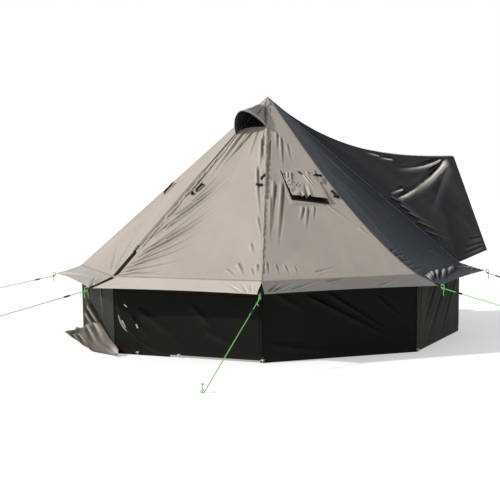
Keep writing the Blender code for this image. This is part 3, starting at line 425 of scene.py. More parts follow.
def woven(name, colour, deep, rough, sheen=0.15, weave_depth=0.00012, dirt=None, fold="#4A453F",
          crest=("#E4DACE", 0.35), gloss=0.5):
    """Plain-weave polyester: crossing threads as a fine bump, with slow changes of tone as light comes through.

    dirt is a colour and a height: splashed earth that fades out up to that height. fold is the colour of painted
    shade deep in a crease, and crest the colour of painted highlight on its ridge and how far it is reached.
    """
    made, tree = new_surface(name)
    chart = cloth_map(tree)
    slow = add(tree, "TexNoise", Vector=chart, Scale=1.7, Detail=5.0, Roughness=0.55)
    fine = add(tree, "TexNoise", Vector=chart, Scale=60.0, Detail=3.0, Roughness=0.6)
    tone = mix(tree, remap(tree, calc(tree, "MULTIPLY_ADD", fine, 0.35, slow), 0.45, 0.9, 0.0, 1.0), deep, colour)
    if dirt:
        spot = add(tree, "TexCoord").outputs["Object"]
        low = remap(tree, add(tree, "SeparateXYZ", Vector=spot).outputs[2], 0.0, dirt[1], 1.0, 0.0)
        spots = add(tree, "TexNoise", Vector=spot, Scale=14.0, Detail=6.0, Roughness=0.7)
        tone = mix(tree, calc(tree, "MULTIPLY", low, spots), tone, dirt[0])
    # Painted light: the mesh's fold share mixes in the fold colour as painted shade in creases, and below 0 the crest
    # colour as painted highlight on ridges.
    groove = add(tree, "Attribute", {"attribute_name": "fold"})
    tone = mix(tree, calc(tree, "MULTIPLY", groove, 0.75), tone, fold)
    raised = calc(tree, "MINIMUM", calc(tree, "MULTIPLY", groove, -crest[1]), 1.0)
    tone = mix(tree, raised, tone, crest[0])
    warp, weft = (add(tree, "TexWave", {"bands_direction": way}, Vector=chart, Scale=0.05 / thread_width * 2)
                  for way in "XY")
    bump = add(tree, "Bump", Strength=0.6, Distance=weave_depth, Height=calc(tree, "MAXIMUM", warp, weft))
    bump = add(tree, "Bump", Strength=0.5, Distance=0.0012, Height=fine, Normal=bump)
    return surface(made, tree, Base_Color=tone, Roughness=rough, Normal=bump, Specular_IOR_Level=gloss,
                   Sheen_Weight=sheen, Sheen_Roughness=0.5)


def weld(item, distance=0.00002, outward=False):
    """Join the points of a mesh that lie together, and turn its faces outward if need be."""
    merge = bmesh.new()
    merge.from_mesh(item.data)
    bmesh.ops.remove_doubles(merge, verts=merge.verts, dist=distance)
    bmesh.ops.dissolve_degenerate(merge, edges=merge.edges, dist=0.000005)
    if outward:
        bmesh.ops.recalc_face_normals(merge, faces=merge.faces)
    merge.to_mesh(item.data)
    merge.free()
    item.data.shade_smooth()


def set_painted_crease_light(item, tone):
    """For the cloth's material: painted shade deep in a crease, or painted highlight high on a ridge where negative."""
    layer = item.data.attributes.new("fold", "FLOAT", "POINT")
    layer.data.foreach_set("value", tone.ravel().astype(np.float32))


sheet_thick = 0.0012


def hang(name, points, chart, material, nodes, keep=None, flip=False, shade=None,
         thick=sheet_thick, body="shelter"):
    """keep marks the grid's cells that stay, for a sheet with an opening or slanted sides.
    shade is its painted crease shade, below 0 for painted highlight.
    """
    quads = grid_faces(*points.shape[:2], flip)
    points, chart = points.reshape(-1, 3), chart.reshape(-1, 2)
    if keep is not None:
        quads = quads[keep.ravel()]
        used, quads = np.unique(quads, return_inverse=True)
        points, chart, quads = points[used], chart[used], quads.reshape(-1, 4)
        shade = None if shade is None else shade.ravel()[used]
    item = link_mesh(name, points, quads, material, chart)
    if shade is not None:
        set_painted_crease_light(item, shade)
    if keep is not None:
        weld(item)
    thicken(item, thick)
    sewn(item, body, nodes)
    return item


# Roof: seven wedges of coated polyester sewn edge to edge round the pole, charcoal beside the sleeve and tan
# elsewhere. Zips and corners gather them; the seam to the charcoal is drawn over to the south.
tan_cloth = woven("tan_polyester", "#C0B5AA", "#B0A59A", 0.62, sheen=0.2)
charcoal_cloth = woven("charcoal_polyester", "#494E55", "#3F444A", 0.45, sheen=0.03, fold="#0D0E11",
                       crest=("#8C8F93", 0.45), gloss=0.35)
sides = {"northeast": 45, "north": 90, "northwest": 135, "west": 180, "southwest": 225, "south": 270, "southeast": 315}
dark_sides = ("northeast", "southeast")
roof_creases = {
    "southwest": mm((-610, 330, 30, 1070, 13, 17, 30), (-660, 230, 30, 950, 14, 18, 30),
        (-700, 150, 20, 700, 13, 16, 25), (-730, 90, 20, 540, 14, 16, 20), (-750, 50, 20, 310, 13, 13, 15),
        (-760, 20, -150, 120, 13, 10, 10), (-530, 620, 10, 1520, 14, 18, 35), (-460, 820, -10, 1490, 11, 13, 20),
        (-640, 280, -50, 1180, 10, 10, 30), (-700, 50, 100, 60, 12, 6), (155, 2020, 312, 1480, 13, 13),
        (301, 1680, 372, 1380, 11, 15), (-190, 2050, -400, 1200, 12, 11), (-80, 2160, -270, 1250, 13, 10),
        (20, 2140, -190, 1450, 12, 10), (70, 2160, 120, 1580, 11, 7), (-140, 2120, -340, 1350, 10, 8),
        (-20, 2150, -100, 1700, 9, 7), (150, 2110, 330, 1400, 11, 10), (240, 1600, 600, 680, 12, 12, 15),
        (490, 850, 660, 500, 11, 8), (540, 490, 640, 300, 13, 8), (490, 230, 630, 50, 14, 10),
        (695, 220, 750, 70, 11, 9), (650, 160, 730, 40, 10, 7), (400, 150, 550, 30, 12, 6),
        (-420, 1100, -260, 1660, 12, 9, 10), (-330, 1020, -100, 1550, 11, 8, 10), (-550, 720, -400, 1080, 10, 8),
        (-500, 620, -280, 1020, 10, 7), (-600, 500, -300, 980, 11, 8)),
    "south": mm((-45, 2550, -85, 2300, 7, 14), (-25, 2500, -50, 2360, 6, 12), (-160, 2000, -320, 1450, 12, 11),
        (-50, 2100, -140, 1740, 12, 10), (-20, 2030, -150, 1480, 12, 11), (-280, 1360, -560, 500, 14, 14),
        (-190, 1360, -540, 320, 15, 15), (-200, 1950, -460, 1050, 12, 12), (-330, 1660, -480, 1200, 11, 9),
        (-490, 1260, -630, 520, 12, 11), (-80, 980, -190, 720, 12, 11), (-30, 980, -170, 580, 13, 8),
        (40, 980, -40, 740, 11, 6), (-680, 240, -710, 60, 11, 7), (-600, 210, -600, 50, 11, 6),
        (-510, 200, -505, 50, 11, 6), (-420, 170, -410, 50, 11, 5), (-250, 80, 50, 150, 13, 6),
        (420, 660, 540, 460, 12, 7), (-20, 1440, 200, 1060, 13, 7), (-20, 2570, -140, 2240, 10, 10),
        (180, 1000, 420, 660, 16, 6), (-380, 1150, -600, 400, 12, 8), (20, 1920, -30, 1550, 14, 6)),
    "southeast": mm((-810, 250, -560, 290, 10, 16), (-820, 180, -520, 210, 10, 17), (-810, 120, -500, 140, 10, 17),
        (-800, 60, -440, 80, 10, 16), (-800, 310, -640, 370, 9, 12), (-600, 550, -500, 950, 20, 6),
        (200, 300, 600, 50, 18, 6), (-100, 2100, -260, 1960, 12, 6), (50, 1800, 300, 600, 40, 8, 20),
        (-300, 1400, -100, 500, 40, 7, 20)),
    "west": mm((760, 40, 100, 1200, 16, 10, -20), (700, 50, -200, 800, 20, 8, -20), (550, 50, -400, 450, 20, 6),
        (420, 1100, 100, 1900, 14, 9), (-700, 100, -200, 1300, 18, 7, 20), (200, 2100, 50, 1500, 14, 7)),
}
plain_creases = mm((-500, 300, -100, 1600, 30, 10, 20), (550, 200, 150, 1500, 30, 9, -20))
roof_length = slope_length(eave, apex)
seam_gap = 0.0006
port_half, port_low, port_top = 0.195, 1.02, 1.49
vent_low, vent_top = 2.18, 2.40
roof_frames = {side: side_frame(azimuth, eave, apex) for side, azimuth in sides.items()}


def roof_half(y):
    return half_width(eave, apex, y)


def seam_pull(y):
    """How far the south-southeast seam is drawn over to the south side, at a distance up the slope."""
    return 0.137 * np.sin(np.pi * np.clip(y / 2.65, 0, 1) ** 0.676)


# Its second result is painted shade in the creases, below 0 for painted highlight on their ridges.
def roof_height(side, x, y, low, high):
    """How far a wedge stands off its flat: its creases, faint pulls and a shallow belly, calm at the seams."""
    room = least(x - low, high - x, y, roof_length - y)
    height, shade = crease_all(x, y, roof_creases.get(side, plain_creases), room, 0.022, 1.5)
    pulls = 0.0020 * ripples(x, y, 90, 0.16, 11 + sides[side]) * smooth(room / 0.10)
    return height + pulls - 0.012 * smooth(room / 0.45), shade


def cell_middle(x, y, margin):
    """Height of each cell's middle, and whether it lies nearer the roof wedge's axis than its seams less a margin."""
    middle = (y[:-1, :-1] + y[1:, 1:]) / 2
    away = np.abs(x[:-1, :-1] + x[1:, 1:] + x[:-1, 1:] + x[1:, :-1]) / 4
    return middle, away < roof_half(middle) - margin


for side in sides:
    pitch_x, pitch_y = (0.0068, 0.0076) if side in roof_creases else (0.022, 0.022)
    y_top = roof_length - 0.06
    y = np.linspace(0.0004, y_top, int(y_top / pitch_y))
    cols = int(2 * roof_half(0.0) / pitch_x) + 2
    limit = (roof_half(y) - seam_gap)[:, None]
    pull = seam_pull(y)[:, None]
    high = limit - pull if side == "south" else limit
    x = np.clip(np.linspace(-1, 1, cols)[None, :] * limit[0], -limit, high)
    if side == "southeast":
        x = np.hstack([-limit - pull * np.linspace(1, 0, 21)[None, :-1], x])
    y = y[:, None] * np.ones(x.shape[1])
    keep = (np.diff(x, axis=1)[:-1] > 0) | (np.diff(x, axis=1)[1:] > 0)
    z, shade = roof_height(side, x, y, x[:, :1], high)
    if side == "southwest":
        calm = smooth((vent_low - 0.02 - y) / 0.06) + smooth((y - vent_top - 0.02) / 0.04)
        z, shade = z * calm, shade * calm
        middle, inner = cell_middle(x, y, 0.055)
        keep &= ~((middle > vent_low) & (middle < vent_top) & inner)
    if side == "south":
        beyond = np.hypot(np.maximum(np.abs(x) - port_half, 0), np.maximum(np.maximum(port_low - y, y - port_top), 0))
        z = z * smooth((beyond - 0.004) / 0.035)
    points = place(roof_frames[side], x, y, z)
    if side == "southeast":
        half = roof_half(y)
        z = z * smooth(np.abs(x + half) / 0.05)
        over = place(roof_frames["south"], x + 2 * half - 0.0012, y, z)
        points = np.where((x < -half)[..., None], over, place(roof_frames[side], x, y, z))
    hang("roof_cloth_" + side, points, stack(x, y), charcoal_cloth if side in dark_sides else tan_cloth,
         ["roof_panel_" + side],
         keep=keep, shade=shade)


# Valance: the flap of the same cloth that hangs past the wall and is drawn out to a point at each corner.
# Its panels meet only near the eave, and open into a narrow slit towards the point.
# Each side's hem takes a copy of the cloth toned for how that side is lit: these lighter, greyer and shaded copies are
# painted light, and the southeast hem's pleats carry strong painted highlights.
painted_light_tan_cloth = woven("painted_light_tan_polyester", "#C2BCB6", "#AEA8A2", 0.60, sheen=0.15)
sunlit_tan_cloth = woven("sunlit_tan_polyester", "#DACFC2", "#CCC0B3", 0.62, sheen=0.2)
shaded_tan_cloth = woven("shaded_tan_polyester", "#86827D", "#75716C", 0.62, sheen=0.1, crest=("#BDB8B1", 0.6))
pleat_highlight_cloth = woven("pleat_highlight_charcoal_polyester", "#43484E", "#363A40", 0.38, sheen=0.03, fold="#0B0C0E",
                      crest=("#E6E6E4", 1.1), gloss=0.45)
hem_cloths = {"northeast": charcoal_cloth, "west": painted_light_tan_cloth, "southwest": sunlit_tan_cloth,
              "south": shaded_tan_cloth, "southeast": pleat_highlight_cloth}
valance_length = slope_length(tip, eave)
hem_bow = 0.020
valance_creases = {
    "southwest": mm((700, 30, 420, 240, 12, 7), (760, 30, 600, 250, 11, 7), (800, 40, 710, 250, 10, 6),
        (-800, 40, -500, 200, 14, 6)),
    "south": mm((-820, 40, -600, 260, 13, 10), (-800, 30, -450, 240, 14, 7), (-200, 190, 120, 270, 14, 7),
        (-600, 60, -200, 250, 16, 6), (300, 60, 600, 200, 16, 5)),
    "west": mm((860, 30, 550, 240, 16, 18), (860, 20, 280, 220, 18, 16), (-880, 40, 550, 235, 16, 18, -20),
        (620, 60, 300, 240, 12, 12), (-600, 30, 100, 100, 20, 8)),
    "southeast": mm((-620, 220, -820, 80, 14, 16, 0, 0.4), (-470, 250, -820, 60, 13, 16, 0, 0.4),
        (-270, 260, -780, 70, 18, 20, 0, 0.4), (-20, 260, -740, 55, 20, 20, 0, 0.4),
        (170, 225, -620, 50, 20, 20, 0, 0.4), (540, 230, -400, 85, 18, 18, 0, 0.4), (750, 140, 600, 20, 14, 14),
        (840, 30, 400, 240, 14, 14)),
}
tip_creases = mm((800, 30, 500, 250, 20, 7), (-800, 30, -500, 250, 20, 7))
slit = {"southwest": (0.030, 0.032), "south": (0.034, 0.004), "west": (0.004, 0.004), "southeast": (0.006, 0.004)}
for side, azimuth in sides.items():
    rows, cols = (40, 460 if side == "southeast" else 280) if side in valance_creases else (8, 60)
    left, right = slit.get(side, (0.004, 0.004))
    up, across = np.linspace(0, 1, rows)[:, None], np.linspace(-1, 1, cols)[None, :]
    y = up * (valance_length - 0.0008) + hem_bow * (1 - across ** 2) * (1 - up)
    half = half_width(tip, eave, y)
    opened = smooth(1 - up)
    low, high = left * opened - (half - seam_gap), half - seam_gap - right * opened
    x = low + (high - low) * (across + 1) / 2
    room = least(valance_length - y, x - low + 0.03, high - x + 0.03)
    z, shade = crease_all(x, y, valance_creases.get(side, tip_creases), room, 0.03, 1.5)
    z = z + 0.0014 * ripples(x, y, 75, 0.11, 40 + azimuth) * smooth(room / 0.05)
    hang("valance_cloth_" + side, place(side_frame(azimuth, tip, eave), x, y, z), stack(x, y),
         hem_cloths.get(side, tan_cloth), ["valance_" + side],
         shade=shade)


# Walls: dark olive polyester that hangs from the roof's hem to the ground and is pegged at its foot. The
# southwest wall has a quarter-round door that a curved zip closes; the west and southeast walls take lighter
# olive copies of the cloth, painted light for the daylight through them.
wall_cloth = woven("dark_olive_polyester", "#191914", "#12120F", 0.70, sheen=0.0, dirt=("#2E271C", 0.08),
                   fold="#050504", crest=("#3A3A34", 0.3), gloss=0.12)
lit_wall_cloth = woven("sunlit_olive_polyester", "#2C2B19", "#121417", 0.66, sheen=0.0, dirt=("#3A3224", 0.10),
                       fold="#070706", crest=("#B0AA9C", 0.9), gloss=0.15)
dim_wall_cloth = woven("shaded_olive_polyester", "#292716", "#131410", 0.66, sheen=0.0, dirt=("#3A3224", 0.10),
                       fold="#070706", crest=("#5C584B", 0.6), gloss=0.15)
wall_drop = cloth / 2 / math.cos(math.atan2(apex[1] - eave[1], eave[0] * math.cos(half_angle))) + 0.0006
wall_length = slope_length(foot, eave) - wall_drop
wall_gap = 0.0007
wall_creases = {
    "south": mm((-400, 660, 820, 30, 22, 16), (-160, 660, 800, 50, 20, 14), (360, 600, 790, 250, 18, 10),
        (-700, 700, -200, 400, 30, 8), (-750, 200, 100, 60, 30, 8)),
    "southeast": mm((-80, 660, -700, 120, 34, 16), (400, 700, -500, 20, 40, 22), (740, 700, 20, 30, 34, 18),
        (-640, 730, -740, 200, 26, 12)),
    "west": mm((-550, 400, 620, 50, 30, 34, -30), (20, 260, 790, 30, 20, 28, -20), (-100, 200, 740, 20, 16, 20, -20),
        (-680, 300, 200, 30, 30, 26, -20), (-550, 740, -300, 250, 30, 12), (200, 740, 350, 300, 30, 10)),
    "southwest": mm((100, 740, 790, 640, 20, 6), (-760, 100, -300, 20, 20, 6)),
    "leaf": mm((-550, 500, 100, 80, 30, 10), (50, 560, 600, 60, 30, 9), (-600, 400, -300, 100, 20, 10),
        (200, 300, 700, 100, 30, 8)),
}


def wall_half(y):
    return half_width(foot, eave, y) - wall_gap


# Its second result is painted shade in the creases, below 0 for painted highlight on their ridges.
def wall_height(side, x, y, half, top):
    """The wall's folds: long slanting pulls and soft upright waves, calm where it is sewn or pegged."""
    room = least(half - np.abs(x), y, top - y)
    height, shade = crease_all(x, y, wall_creases[side], room, 0.04, 1.3)
    return height + 0.004 * ripples(x, y, 96, 0.26, 70 + len(side)) * smooth(room / 0.12), shade


for side, fabric in (("west", lit_wall_cloth), ("south", wall_cloth), ("southeast", dim_wall_cloth)):
    y = np.linspace(0, 1, 90)[:, None] * wall_length * np.ones(180)
    half = wall_half(y)
    x = np.linspace(-1, 1, 180) * half
    z, shade = wall_height(side, x, y, half, wall_length)
    hang("wall_cloth_" + side, place(side_frame(sides[side], foot, eave), x, y, z), stack(x, y), fabric,
         ["wall_" + side], shade=shade)

# The southwest wall is one sheet with a quarter-round doorway; its round edge and header carry the zip's tape.
door_frame = side_frame(225, foot, eave)
door_x, door_y, door_radius, hinge_x = -0.18, 0.615, 0.595, 0.775
bottom = door_y - door_radius
edge = 0.0015


def door_edge(y, radius):
    """The door's round edge at a height: the arc's left side, level with its middle at the top."""
    return door_x - np.sqrt(np.maximum(radius ** 2 - np.clip(door_y - y, 0, radius) ** 2, 0.0))


levels = np.concatenate([np.linspace(0, bottom - edge, 4),
                         bottom - edge + (door_y + 0.003 - bottom) * np.linspace(0, 1, 60)[1:]])
y = levels[:, None] * np.ones(40)
half = wall_half(y)
share = np.linspace(0, 1, 40)
left_x = -half + (np.where(y < bottom - edge, door_x, door_edge(y, door_radius + edge)) + half) * share
post = hinge_x + cloth / 2 + hair
right_x = post + (half - post) * share
rise = np.linspace(levels[-1], wall_length, 22)[:, None] * np.ones(180)
top_x = np.linspace(-1, 1, 180) * wall_half(rise)
verts, quads, charts, count = [], [], [], 0
for gx, gy in ((left_x, y), (right_x, y), (top_x, rise)):
    gz = wall_height("southwest", gx, gy, half_width(foot, eave, gy), wall_length)[0]
    round_gap = np.abs(np.hypot(gx - door_x, gy - door_y) - door_radius)
    gz = gz * smooth((round_gap - 0.02) / 0.05) * smooth((gy - door_y - 0.004) / 0.04)
    verts.append(place(door_frame, gx, gy, gz).reshape(-1, 3))
    charts.append(stack(gx, gy).reshape(-1, 2))
    quads.append(grid_faces(*gx.shape) + count)
    count += gx.size
wall_front = link_mesh("wall_cloth_southwest", np.vstack(verts), np.vstack(quads), wall_cloth, np.vstack(charts))
weld(wall_front, 0.0004)
thicken(wall_front, sheet_thick)
sewn(wall_front, nodes=["wall_southwest"])

# The door's leaf: the quarter-round of wall cloth inside the zip, held along its right edge, its free
# corner slightly slack.
y = (bottom + (door_y - bottom) * np.linspace(0, 1, 90) ** 1.4)[:, None] * np.ones(150)
left = door_edge(y, door_radius)
x = left + (hinge_x - left) * np.linspace(0, 1, 150)
inside = least(door_radius - np.hypot(np.minimum(x - door_x, 0), y - door_y), hinge_x - x, door_y - y)
z, shade = crease_all(x, y, wall_creases["leaf"], inside, 0.04)
z = z + 0.0025 * ripples(x, y, 160, 0.22, 91) * smooth(inside / 0.10)
hang("door_cloth", place(door_frame, x, y, z), stack(x, y), wall_cloth, ["door_leaf"],
     shade=shade, body="door_leaf")

# The back wall: one strip of the same cloth round the three sides that face away, sewn and hung like the front.
across, y = np.linspace(0, 3, 200), np.linspace(0, 1, 16)[:, None]
wall_rise = eave[1] - foot[1]
top_radius = eave[0] - (eave[0] - foot[0]) * wall_drop / wall_rise
stops = np.array([ring(1.0, corners[c], 0.0) for c in ("ene", "nne", "nnw", "wnw")])
radial = stack(*(np.interp(across, range(4), stops[:, k]) for k in range(3)))
radius = foot[0] + (top_radius - foot[0]) * y
height = foot[1] + (wall_rise - wall_drop) * y
facing = np.radians(45 + 45 * np.clip(across, 0, 2.999).astype(int))
calm = smooth(np.minimum(across % 1.0, 1 - across % 1.0) / 0.12) * smooth(np.minimum(y, 1 - y) / 0.2)
chart = stack(across * 1.6, 0.75 * y)
bulge = 0.006 * ripples(chart[..., 0], chart[..., 1], 92, 0.3, 5) * calm
points = radial * radius[..., None] + height[..., None] * np.array([0, 0, 1.0])
points = points + stack(np.cos(facing), np.sin(facing), 0.0) * bulge[..., None]
points[:, -1] += unit(stops[2] - stops[3]) * 0.0008
hang("wall_cloth_back", points, chart, wall_cloth, ["wall_back"],
     flip=True)


# Sleeve: a top and two sides of coated charcoal polyester, strung from the apex to a straight edge on a pole or
# rail. Each pull, where the cloth is drawn to the edge's corners, is a ridge painted bright: a painted highlight
# for the glossy coat's reflection.
coated = woven("coated_charcoal_polyester", "#1D2229", "#171B20", 0.34, sheen=0.0, weave_depth=0.00005,
               fold="#0B0C0E", crest=("#DCD4C8", 1.15), gloss=0.45)
edge_x, lip, sleeve_width, sleeve_top_z = 1.82, 0.08, 0.75, 1.93


def crest(x):
    """Height of the sleeve's top edge: a sag that runs level into the straight edge."""
    return sleeve_top_z + (apex[1] - sleeve_top_z) * np.maximum(1 - x / edge_x, 0) ** 2.6


def sleeve_half(x):
    return sleeve_width * np.minimum(x / edge_x, 1.0)


trim = cloth / 2 + 0.0009
sleeve_start = 0.1046
x = (sleeve_start + (edge_x + lip - sleeve_start) * np.linspace(0, 1, 130))[:, None] * np.ones(60)
s = np.linspace(-1, 1, 60)[None, :] * np.ones((130, 1))
sag = 0.035 * (1 - s * s) * np.sin(np.pi * np.minimum(x / edge_x, 1))
wave = 0.004 * ripples(x, s * 0.6, 0, 0.12, 301) * smooth((1 - np.abs(s)) / 0.3) * smooth((x - 0.11) / 0.3)
hang("sleeve_cloth_top", stack(x, s * (sleeve_half(x) - trim), crest(x) - sag + wave), stack(x, s * 0.7), coated,
     ["sleeve_top"],
     flip=True)

corner = ring(eave[0], corners["ene"], eave[1])
side_x, corner_share = 0.20, 0.8
start = np.array([side_x, corner[1] * side_x / corner[0], apex[1] - (apex[1] - eave[1]) / corner[0] * side_x])
hem_bottom = np.array([2.36, 0.70, 0.877])
outward = np.array([-math.sin(half_angle), math.cos(half_angle), 0])
sleeve_creases = mm((1840, 1900, 1310, 1450, 36, 40, -50), (1800, 1910, 1270, 1800, 22, 34, -50),
    (1380, 1570, 1230, 1520, 16, 22), (1140, 1935, 980, 1985, 10, 16), (1270, 1895, 1110, 1925, 10, 18),
    (1860, 1860, 1620, 1200, 45, 6), (1640, 1670, 1290, 1440, 26, 26, -15, 0.7), (1230, 1500, 1500, 1350, 17, 6),
    (1320, 1410, 1620, 1240, 18, 7), (1400, 1330, 1720, 1150, 18, 8), (1490, 1230, 1800, 1080, 17, 7),
    (1580, 1120, 1860, 1000, 17, 6), (2300, 920, 1960, 820, 14, 10), (2310, 960, 1980, 900, 14, 10),
    (2300, 1020, 2050, 1000, 14, 7))
for hand, label in ((-1, "south"), (1, "north")):
    up, along = lattice((0, 1, 110), (0, 1, 150))
    near = start + (corner - start) * np.clip(along / corner_share, 0, 1)[..., None]
    far = corner + (hem_bottom - corner) * np.clip((along - corner_share) / (1 - corner_share), 0, 1)[..., None]
    low = np.where((along < corner_share)[..., None], near, far)
    step = along * 15
    x = side_x + (edge_x - side_x) * np.minimum(step / 14, 1) + lip * np.maximum(step - 14, 0)
    run = stack(x, sleeve_half(x), crest(x)) - low
    length = np.linalg.norm(run, axis=-1, keepdims=True)
    way = run / length
    spot = low + way * 0.002 + (run - way * (0.002 + trim)) * up[..., None]
    room = np.minimum(up, 1 - up) * length[..., 0]
    fade = smooth(room / 0.05) * smooth((1 - along) / 0.04)
    pull = 0.006 * ripples(spot[..., 0], spot[..., 2], -40, 0.18, 77) * smooth(room / 0.15)
    shade = np.zeros_like(pull)
    # The pull turns each groove into a ridge: painted highlight along it, painted shade beside it.
    for crease in sleeve_creases:
        rise, groove, ridge = furrow(spot[..., 0], spot[..., 2], *crease)
        pull = pull - 1.2 * rise
        highlight_share = min(max((crease[5] - crease[4] * 0.6) / 0.012, 0.25), 1.0)
        shade = np.where(groove > np.abs(shade), -highlight_share * groove, shade)
        shade = np.where(ridge * 0.8 > np.abs(shade), 0.8 * ridge, shade)
    spot = spot + outward * (fade * pull)[..., None]
    spot[..., 1] *= hand
    hang("sleeve_cloth_" + label, spot, spot[..., ::2], coated, ["sleeve_side_" + label],
         flip=hand > 0, shade=shade * fade)

# A thin pale tube along the seam between the sleeve's top and sides, thinning out uphill: a painted highlight
# where light catches the sleeve's top edge.
highlight_tube_radius = 0.0045
x = np.linspace(0.95, 1.885, 80)
for hand, label in ((-1, "south"), (1, "north")):
    sewn(tube("sleeve_painted_highlight_" + label, stack(x, hand * (sleeve_half(x) - 0.002), crest(x) + 0.003),
              highlight_tube_radius * smooth((x - 0.93) / 0.3), 8, sunlit_tan_cloth))


def strip(name, lines, material, thick=0.0008, chart=None, offset=1.0, nodes=(), body="shelter"):
    """A narrow band from a grid of points, its map measured along and across it in metres."""
    if chart is None:
        across = np.concatenate([[0.0], np.cumsum(np.linalg.norm(np.diff(lines, axis=1).mean(axis=0), axis=1))])
        chart = stack(*np.meshgrid(across - across[-1] / 2, travel(lines.mean(axis=1))))
    item = link_mesh(name, lines, grid_faces(*lines.shape[:2]), material, chart)
    thicken(item, thick, offset)
    return sewn(item, body, nodes) if body else item


# Woven strap: close ribs across the strap as a bump, matt and a little uneven in tone.
black_webbing, tree = new_surface("black_polyester_webbing")
rib = 0.0022
ribs = add(tree, "TexWave", {"bands_direction": "Y"}, Vector=cloth_map(tree), Scale=0.05 / rib * 2)
speck = add(tree, "TexNoise", Vector=cloth_map(tree), Scale=220.0, Detail=3.0)
surface(black_webbing, tree, Base_Color=mix(tree, speck, "#0B0B0C", "#131314"), Roughness=0.80,
        Normal=add(tree, "Bump", Strength=0.7, Distance=0.0004, Height=ribs), Specular_IOR_Level=0.25)

# Sleeve hem: polyester webbing sewn under the straight edge, which takes the pull of the tie-out.
y = np.linspace(-0.725, 0.725, 120)[:, None]
across = np.linspace(edge_x + lip - 0.05, edge_x + lip, 9)
height = sleeve_top_z - cloth / 2 - 0.0014 - 0.0008 * np.cos(y * 40)
strip("sleeve_webbing", stack(across, y, height), black_webbing, 0.0018, nodes=["sleeve_hem_tape"])


# Vent hood: a stiffened half-round cowl of roof cloth over the vent near the peak, with a wired brim that holds
# its mouth open to the air. Its inside and a border round the vent are black: painted shade of the hood's hollow.
hood_shade_black = woven("black_painted_hood_shade_polyester", "#1C1C1E", "#131314", 0.75, sheen=0.0)
hood_cloth = woven("grey_hood_polyester", "#AAA7A3", "#93908C", 0.60, sheen=0.1, fold="#141414",
                   crest=("#E2DFDA", 0.9))
hood_frame = roof_frames["southwest"]
hood_top, hood_mouth, hood_rise = 0.142, 0.529, 0.25
along, turn = lattice((0, 1, 70), (1, 0, 90))
turn = np.pi * (turn - 0.5)
brim = roof_length - hood_mouth + 0.045 * np.sin(turn) - 0.030 * smooth((-0.4 - np.sin(turn)) / 0.6)
y = (roof_length - hood_top) + (brim - roof_length + hood_top) * along
half = roof_half(y) - 0.012
share = np.maximum((roof_length - y - hood_top) / (hood_mouth - hood_top), 0) ** 0.85
radial = (np.sin(turn) - 0.12 * np.cos(turn)) * half
lift = 0.0018 + hood_rise * share * np.maximum(np.cos(turn), 0) ** 1.5 * (1 - 0.22 * np.sin(turn))
fan = [(-1.1, 0.00, -0.55, 0.95, .060, .026), (-0.35, 0.00, -0.10, 0.80, .090, .030),
       (0.50, 0.02, 0.10, 1.00, .085, .036, .0, .5), (0.72, 0.10, 0.60, 1.02, .075, .034, .0, .5),
       (1.15, 0.00, 1.25, 0.98, .110, .040), (-0.70, 0.3, -0.85, 1.0, .050, .014)]
dents, shade = crease_all(turn, along, fan, np.minimum(np.cos(turn) * 0.2, 1.02 - along), 0.05, 0.8)
# Painted light on the hood: a bright band beside its right fold, a dark groove at its right edge, and a hem band
# painted bright on its lit right and dark on its shaded left.
shade = shade - 0.7 * np.exp(-((turn - 0.88) / 0.20) ** 2) * (1 - along) ** 0.3
hem_band = smooth((along - 0.90) / 0.04)
lit_side = smooth((turn + 0.45) / 0.5)
shade = np.maximum(shade, 0.9 * smooth((turn - 1.22) / 0.15)) * (1 - hem_band) + (0.95 - 1.75 * lit_side) * hem_band
flutter = 0.004 * ripples(turn * 0.2, along * 0.4, 90, 0.06, 12) * smooth(np.cos(turn) / 0.4)
lift = lift + dents * smooth(share / 0.3) + flutter * smooth((1 - along) / 0.2) * share
hood = hang("hood_cloth", place(hood_frame, radial, y, lift), stack(turn * 0.13, along * 0.4), hood_cloth,
            ["vent_hood"], shade=shade, thick=0.002)
hood.data.materials.append(hood_shade_black)
hood.modifiers["thickness"].material_offset = 1
rim = place(hood_frame, radial[-1], y[-1], lift[-1])
# A black border round the vent under the hood: painted shade where the hood's mouth darkens the roof.
up, across = lattice((0, 1, 30), (-1, 1, 30))
y = roof_length - 0.500 + 0.238 * up - 0.048 * np.minimum(across, 0) ** 2 * (1 - up)
x = across * (roof_half(y) - 0.016)
middle, inner = cell_middle(x, y, 0.075)
hang("vent_painted_shade_border", place(hood_frame, x, y, 0.0036), stack(x, y), hood_shade_black, [],
     keep=~((middle > vent_low + 0.03) & (middle < vent_top - 0.02) & inner), thick=0.0008)
hood_rim = tube("hood_brim", rim, 0.0055, 8, hood_cloth)
# The brim is painted dark on its shaded left.
rim_tone = np.repeat(1.25 * (1 - lit_side[-1]), 8)
set_painted_crease_light(hood_rim, np.concatenate([rim_tone, rim_tone[[0, -1]]]))
sewn(hood_rim)


# Apex cap: a small eight-sided cap of the panels' own cloths, sewn over the point where all seams meet.
cap_radius, cap_lift = 0.11, 0.0037
r, theta = lattice((0.0, 1, 26), (-0.5, 7.5, 161))
r, theta = cap_radius * r ** 0.9, theta * math.pi / 4
wedge = (theta + half_angle) % (math.pi / 4) - half_angle
reach = r * math.cos(half_angle) / np.cos(wedge)
height = apex[1] + cap_lift - r * (apex[1] - eave[1]) / eave[0]
height = height + 0.0012 * np.sin(theta * 23 + 1) * smooth(r / 0.05) + 0.0009 * np.sin(theta * 41) * smooth(r / 0.03)
cap = link_mesh("cap_cloth", stack(reach * np.cos(theta), reach * np.sin(theta), height),
                grid_faces(*r.shape, flip=True), hood_cloth, stack(theta * 0.1, r))


def ray(azimuth, width, lean=0.0):
    """A streak that runs down the cap at an azimuth, as a share from 0 to 1, for painted shade and highlight."""
    return np.exp(-((theta - math.radians(azimuth) + lean * r) * r / width) ** 2)


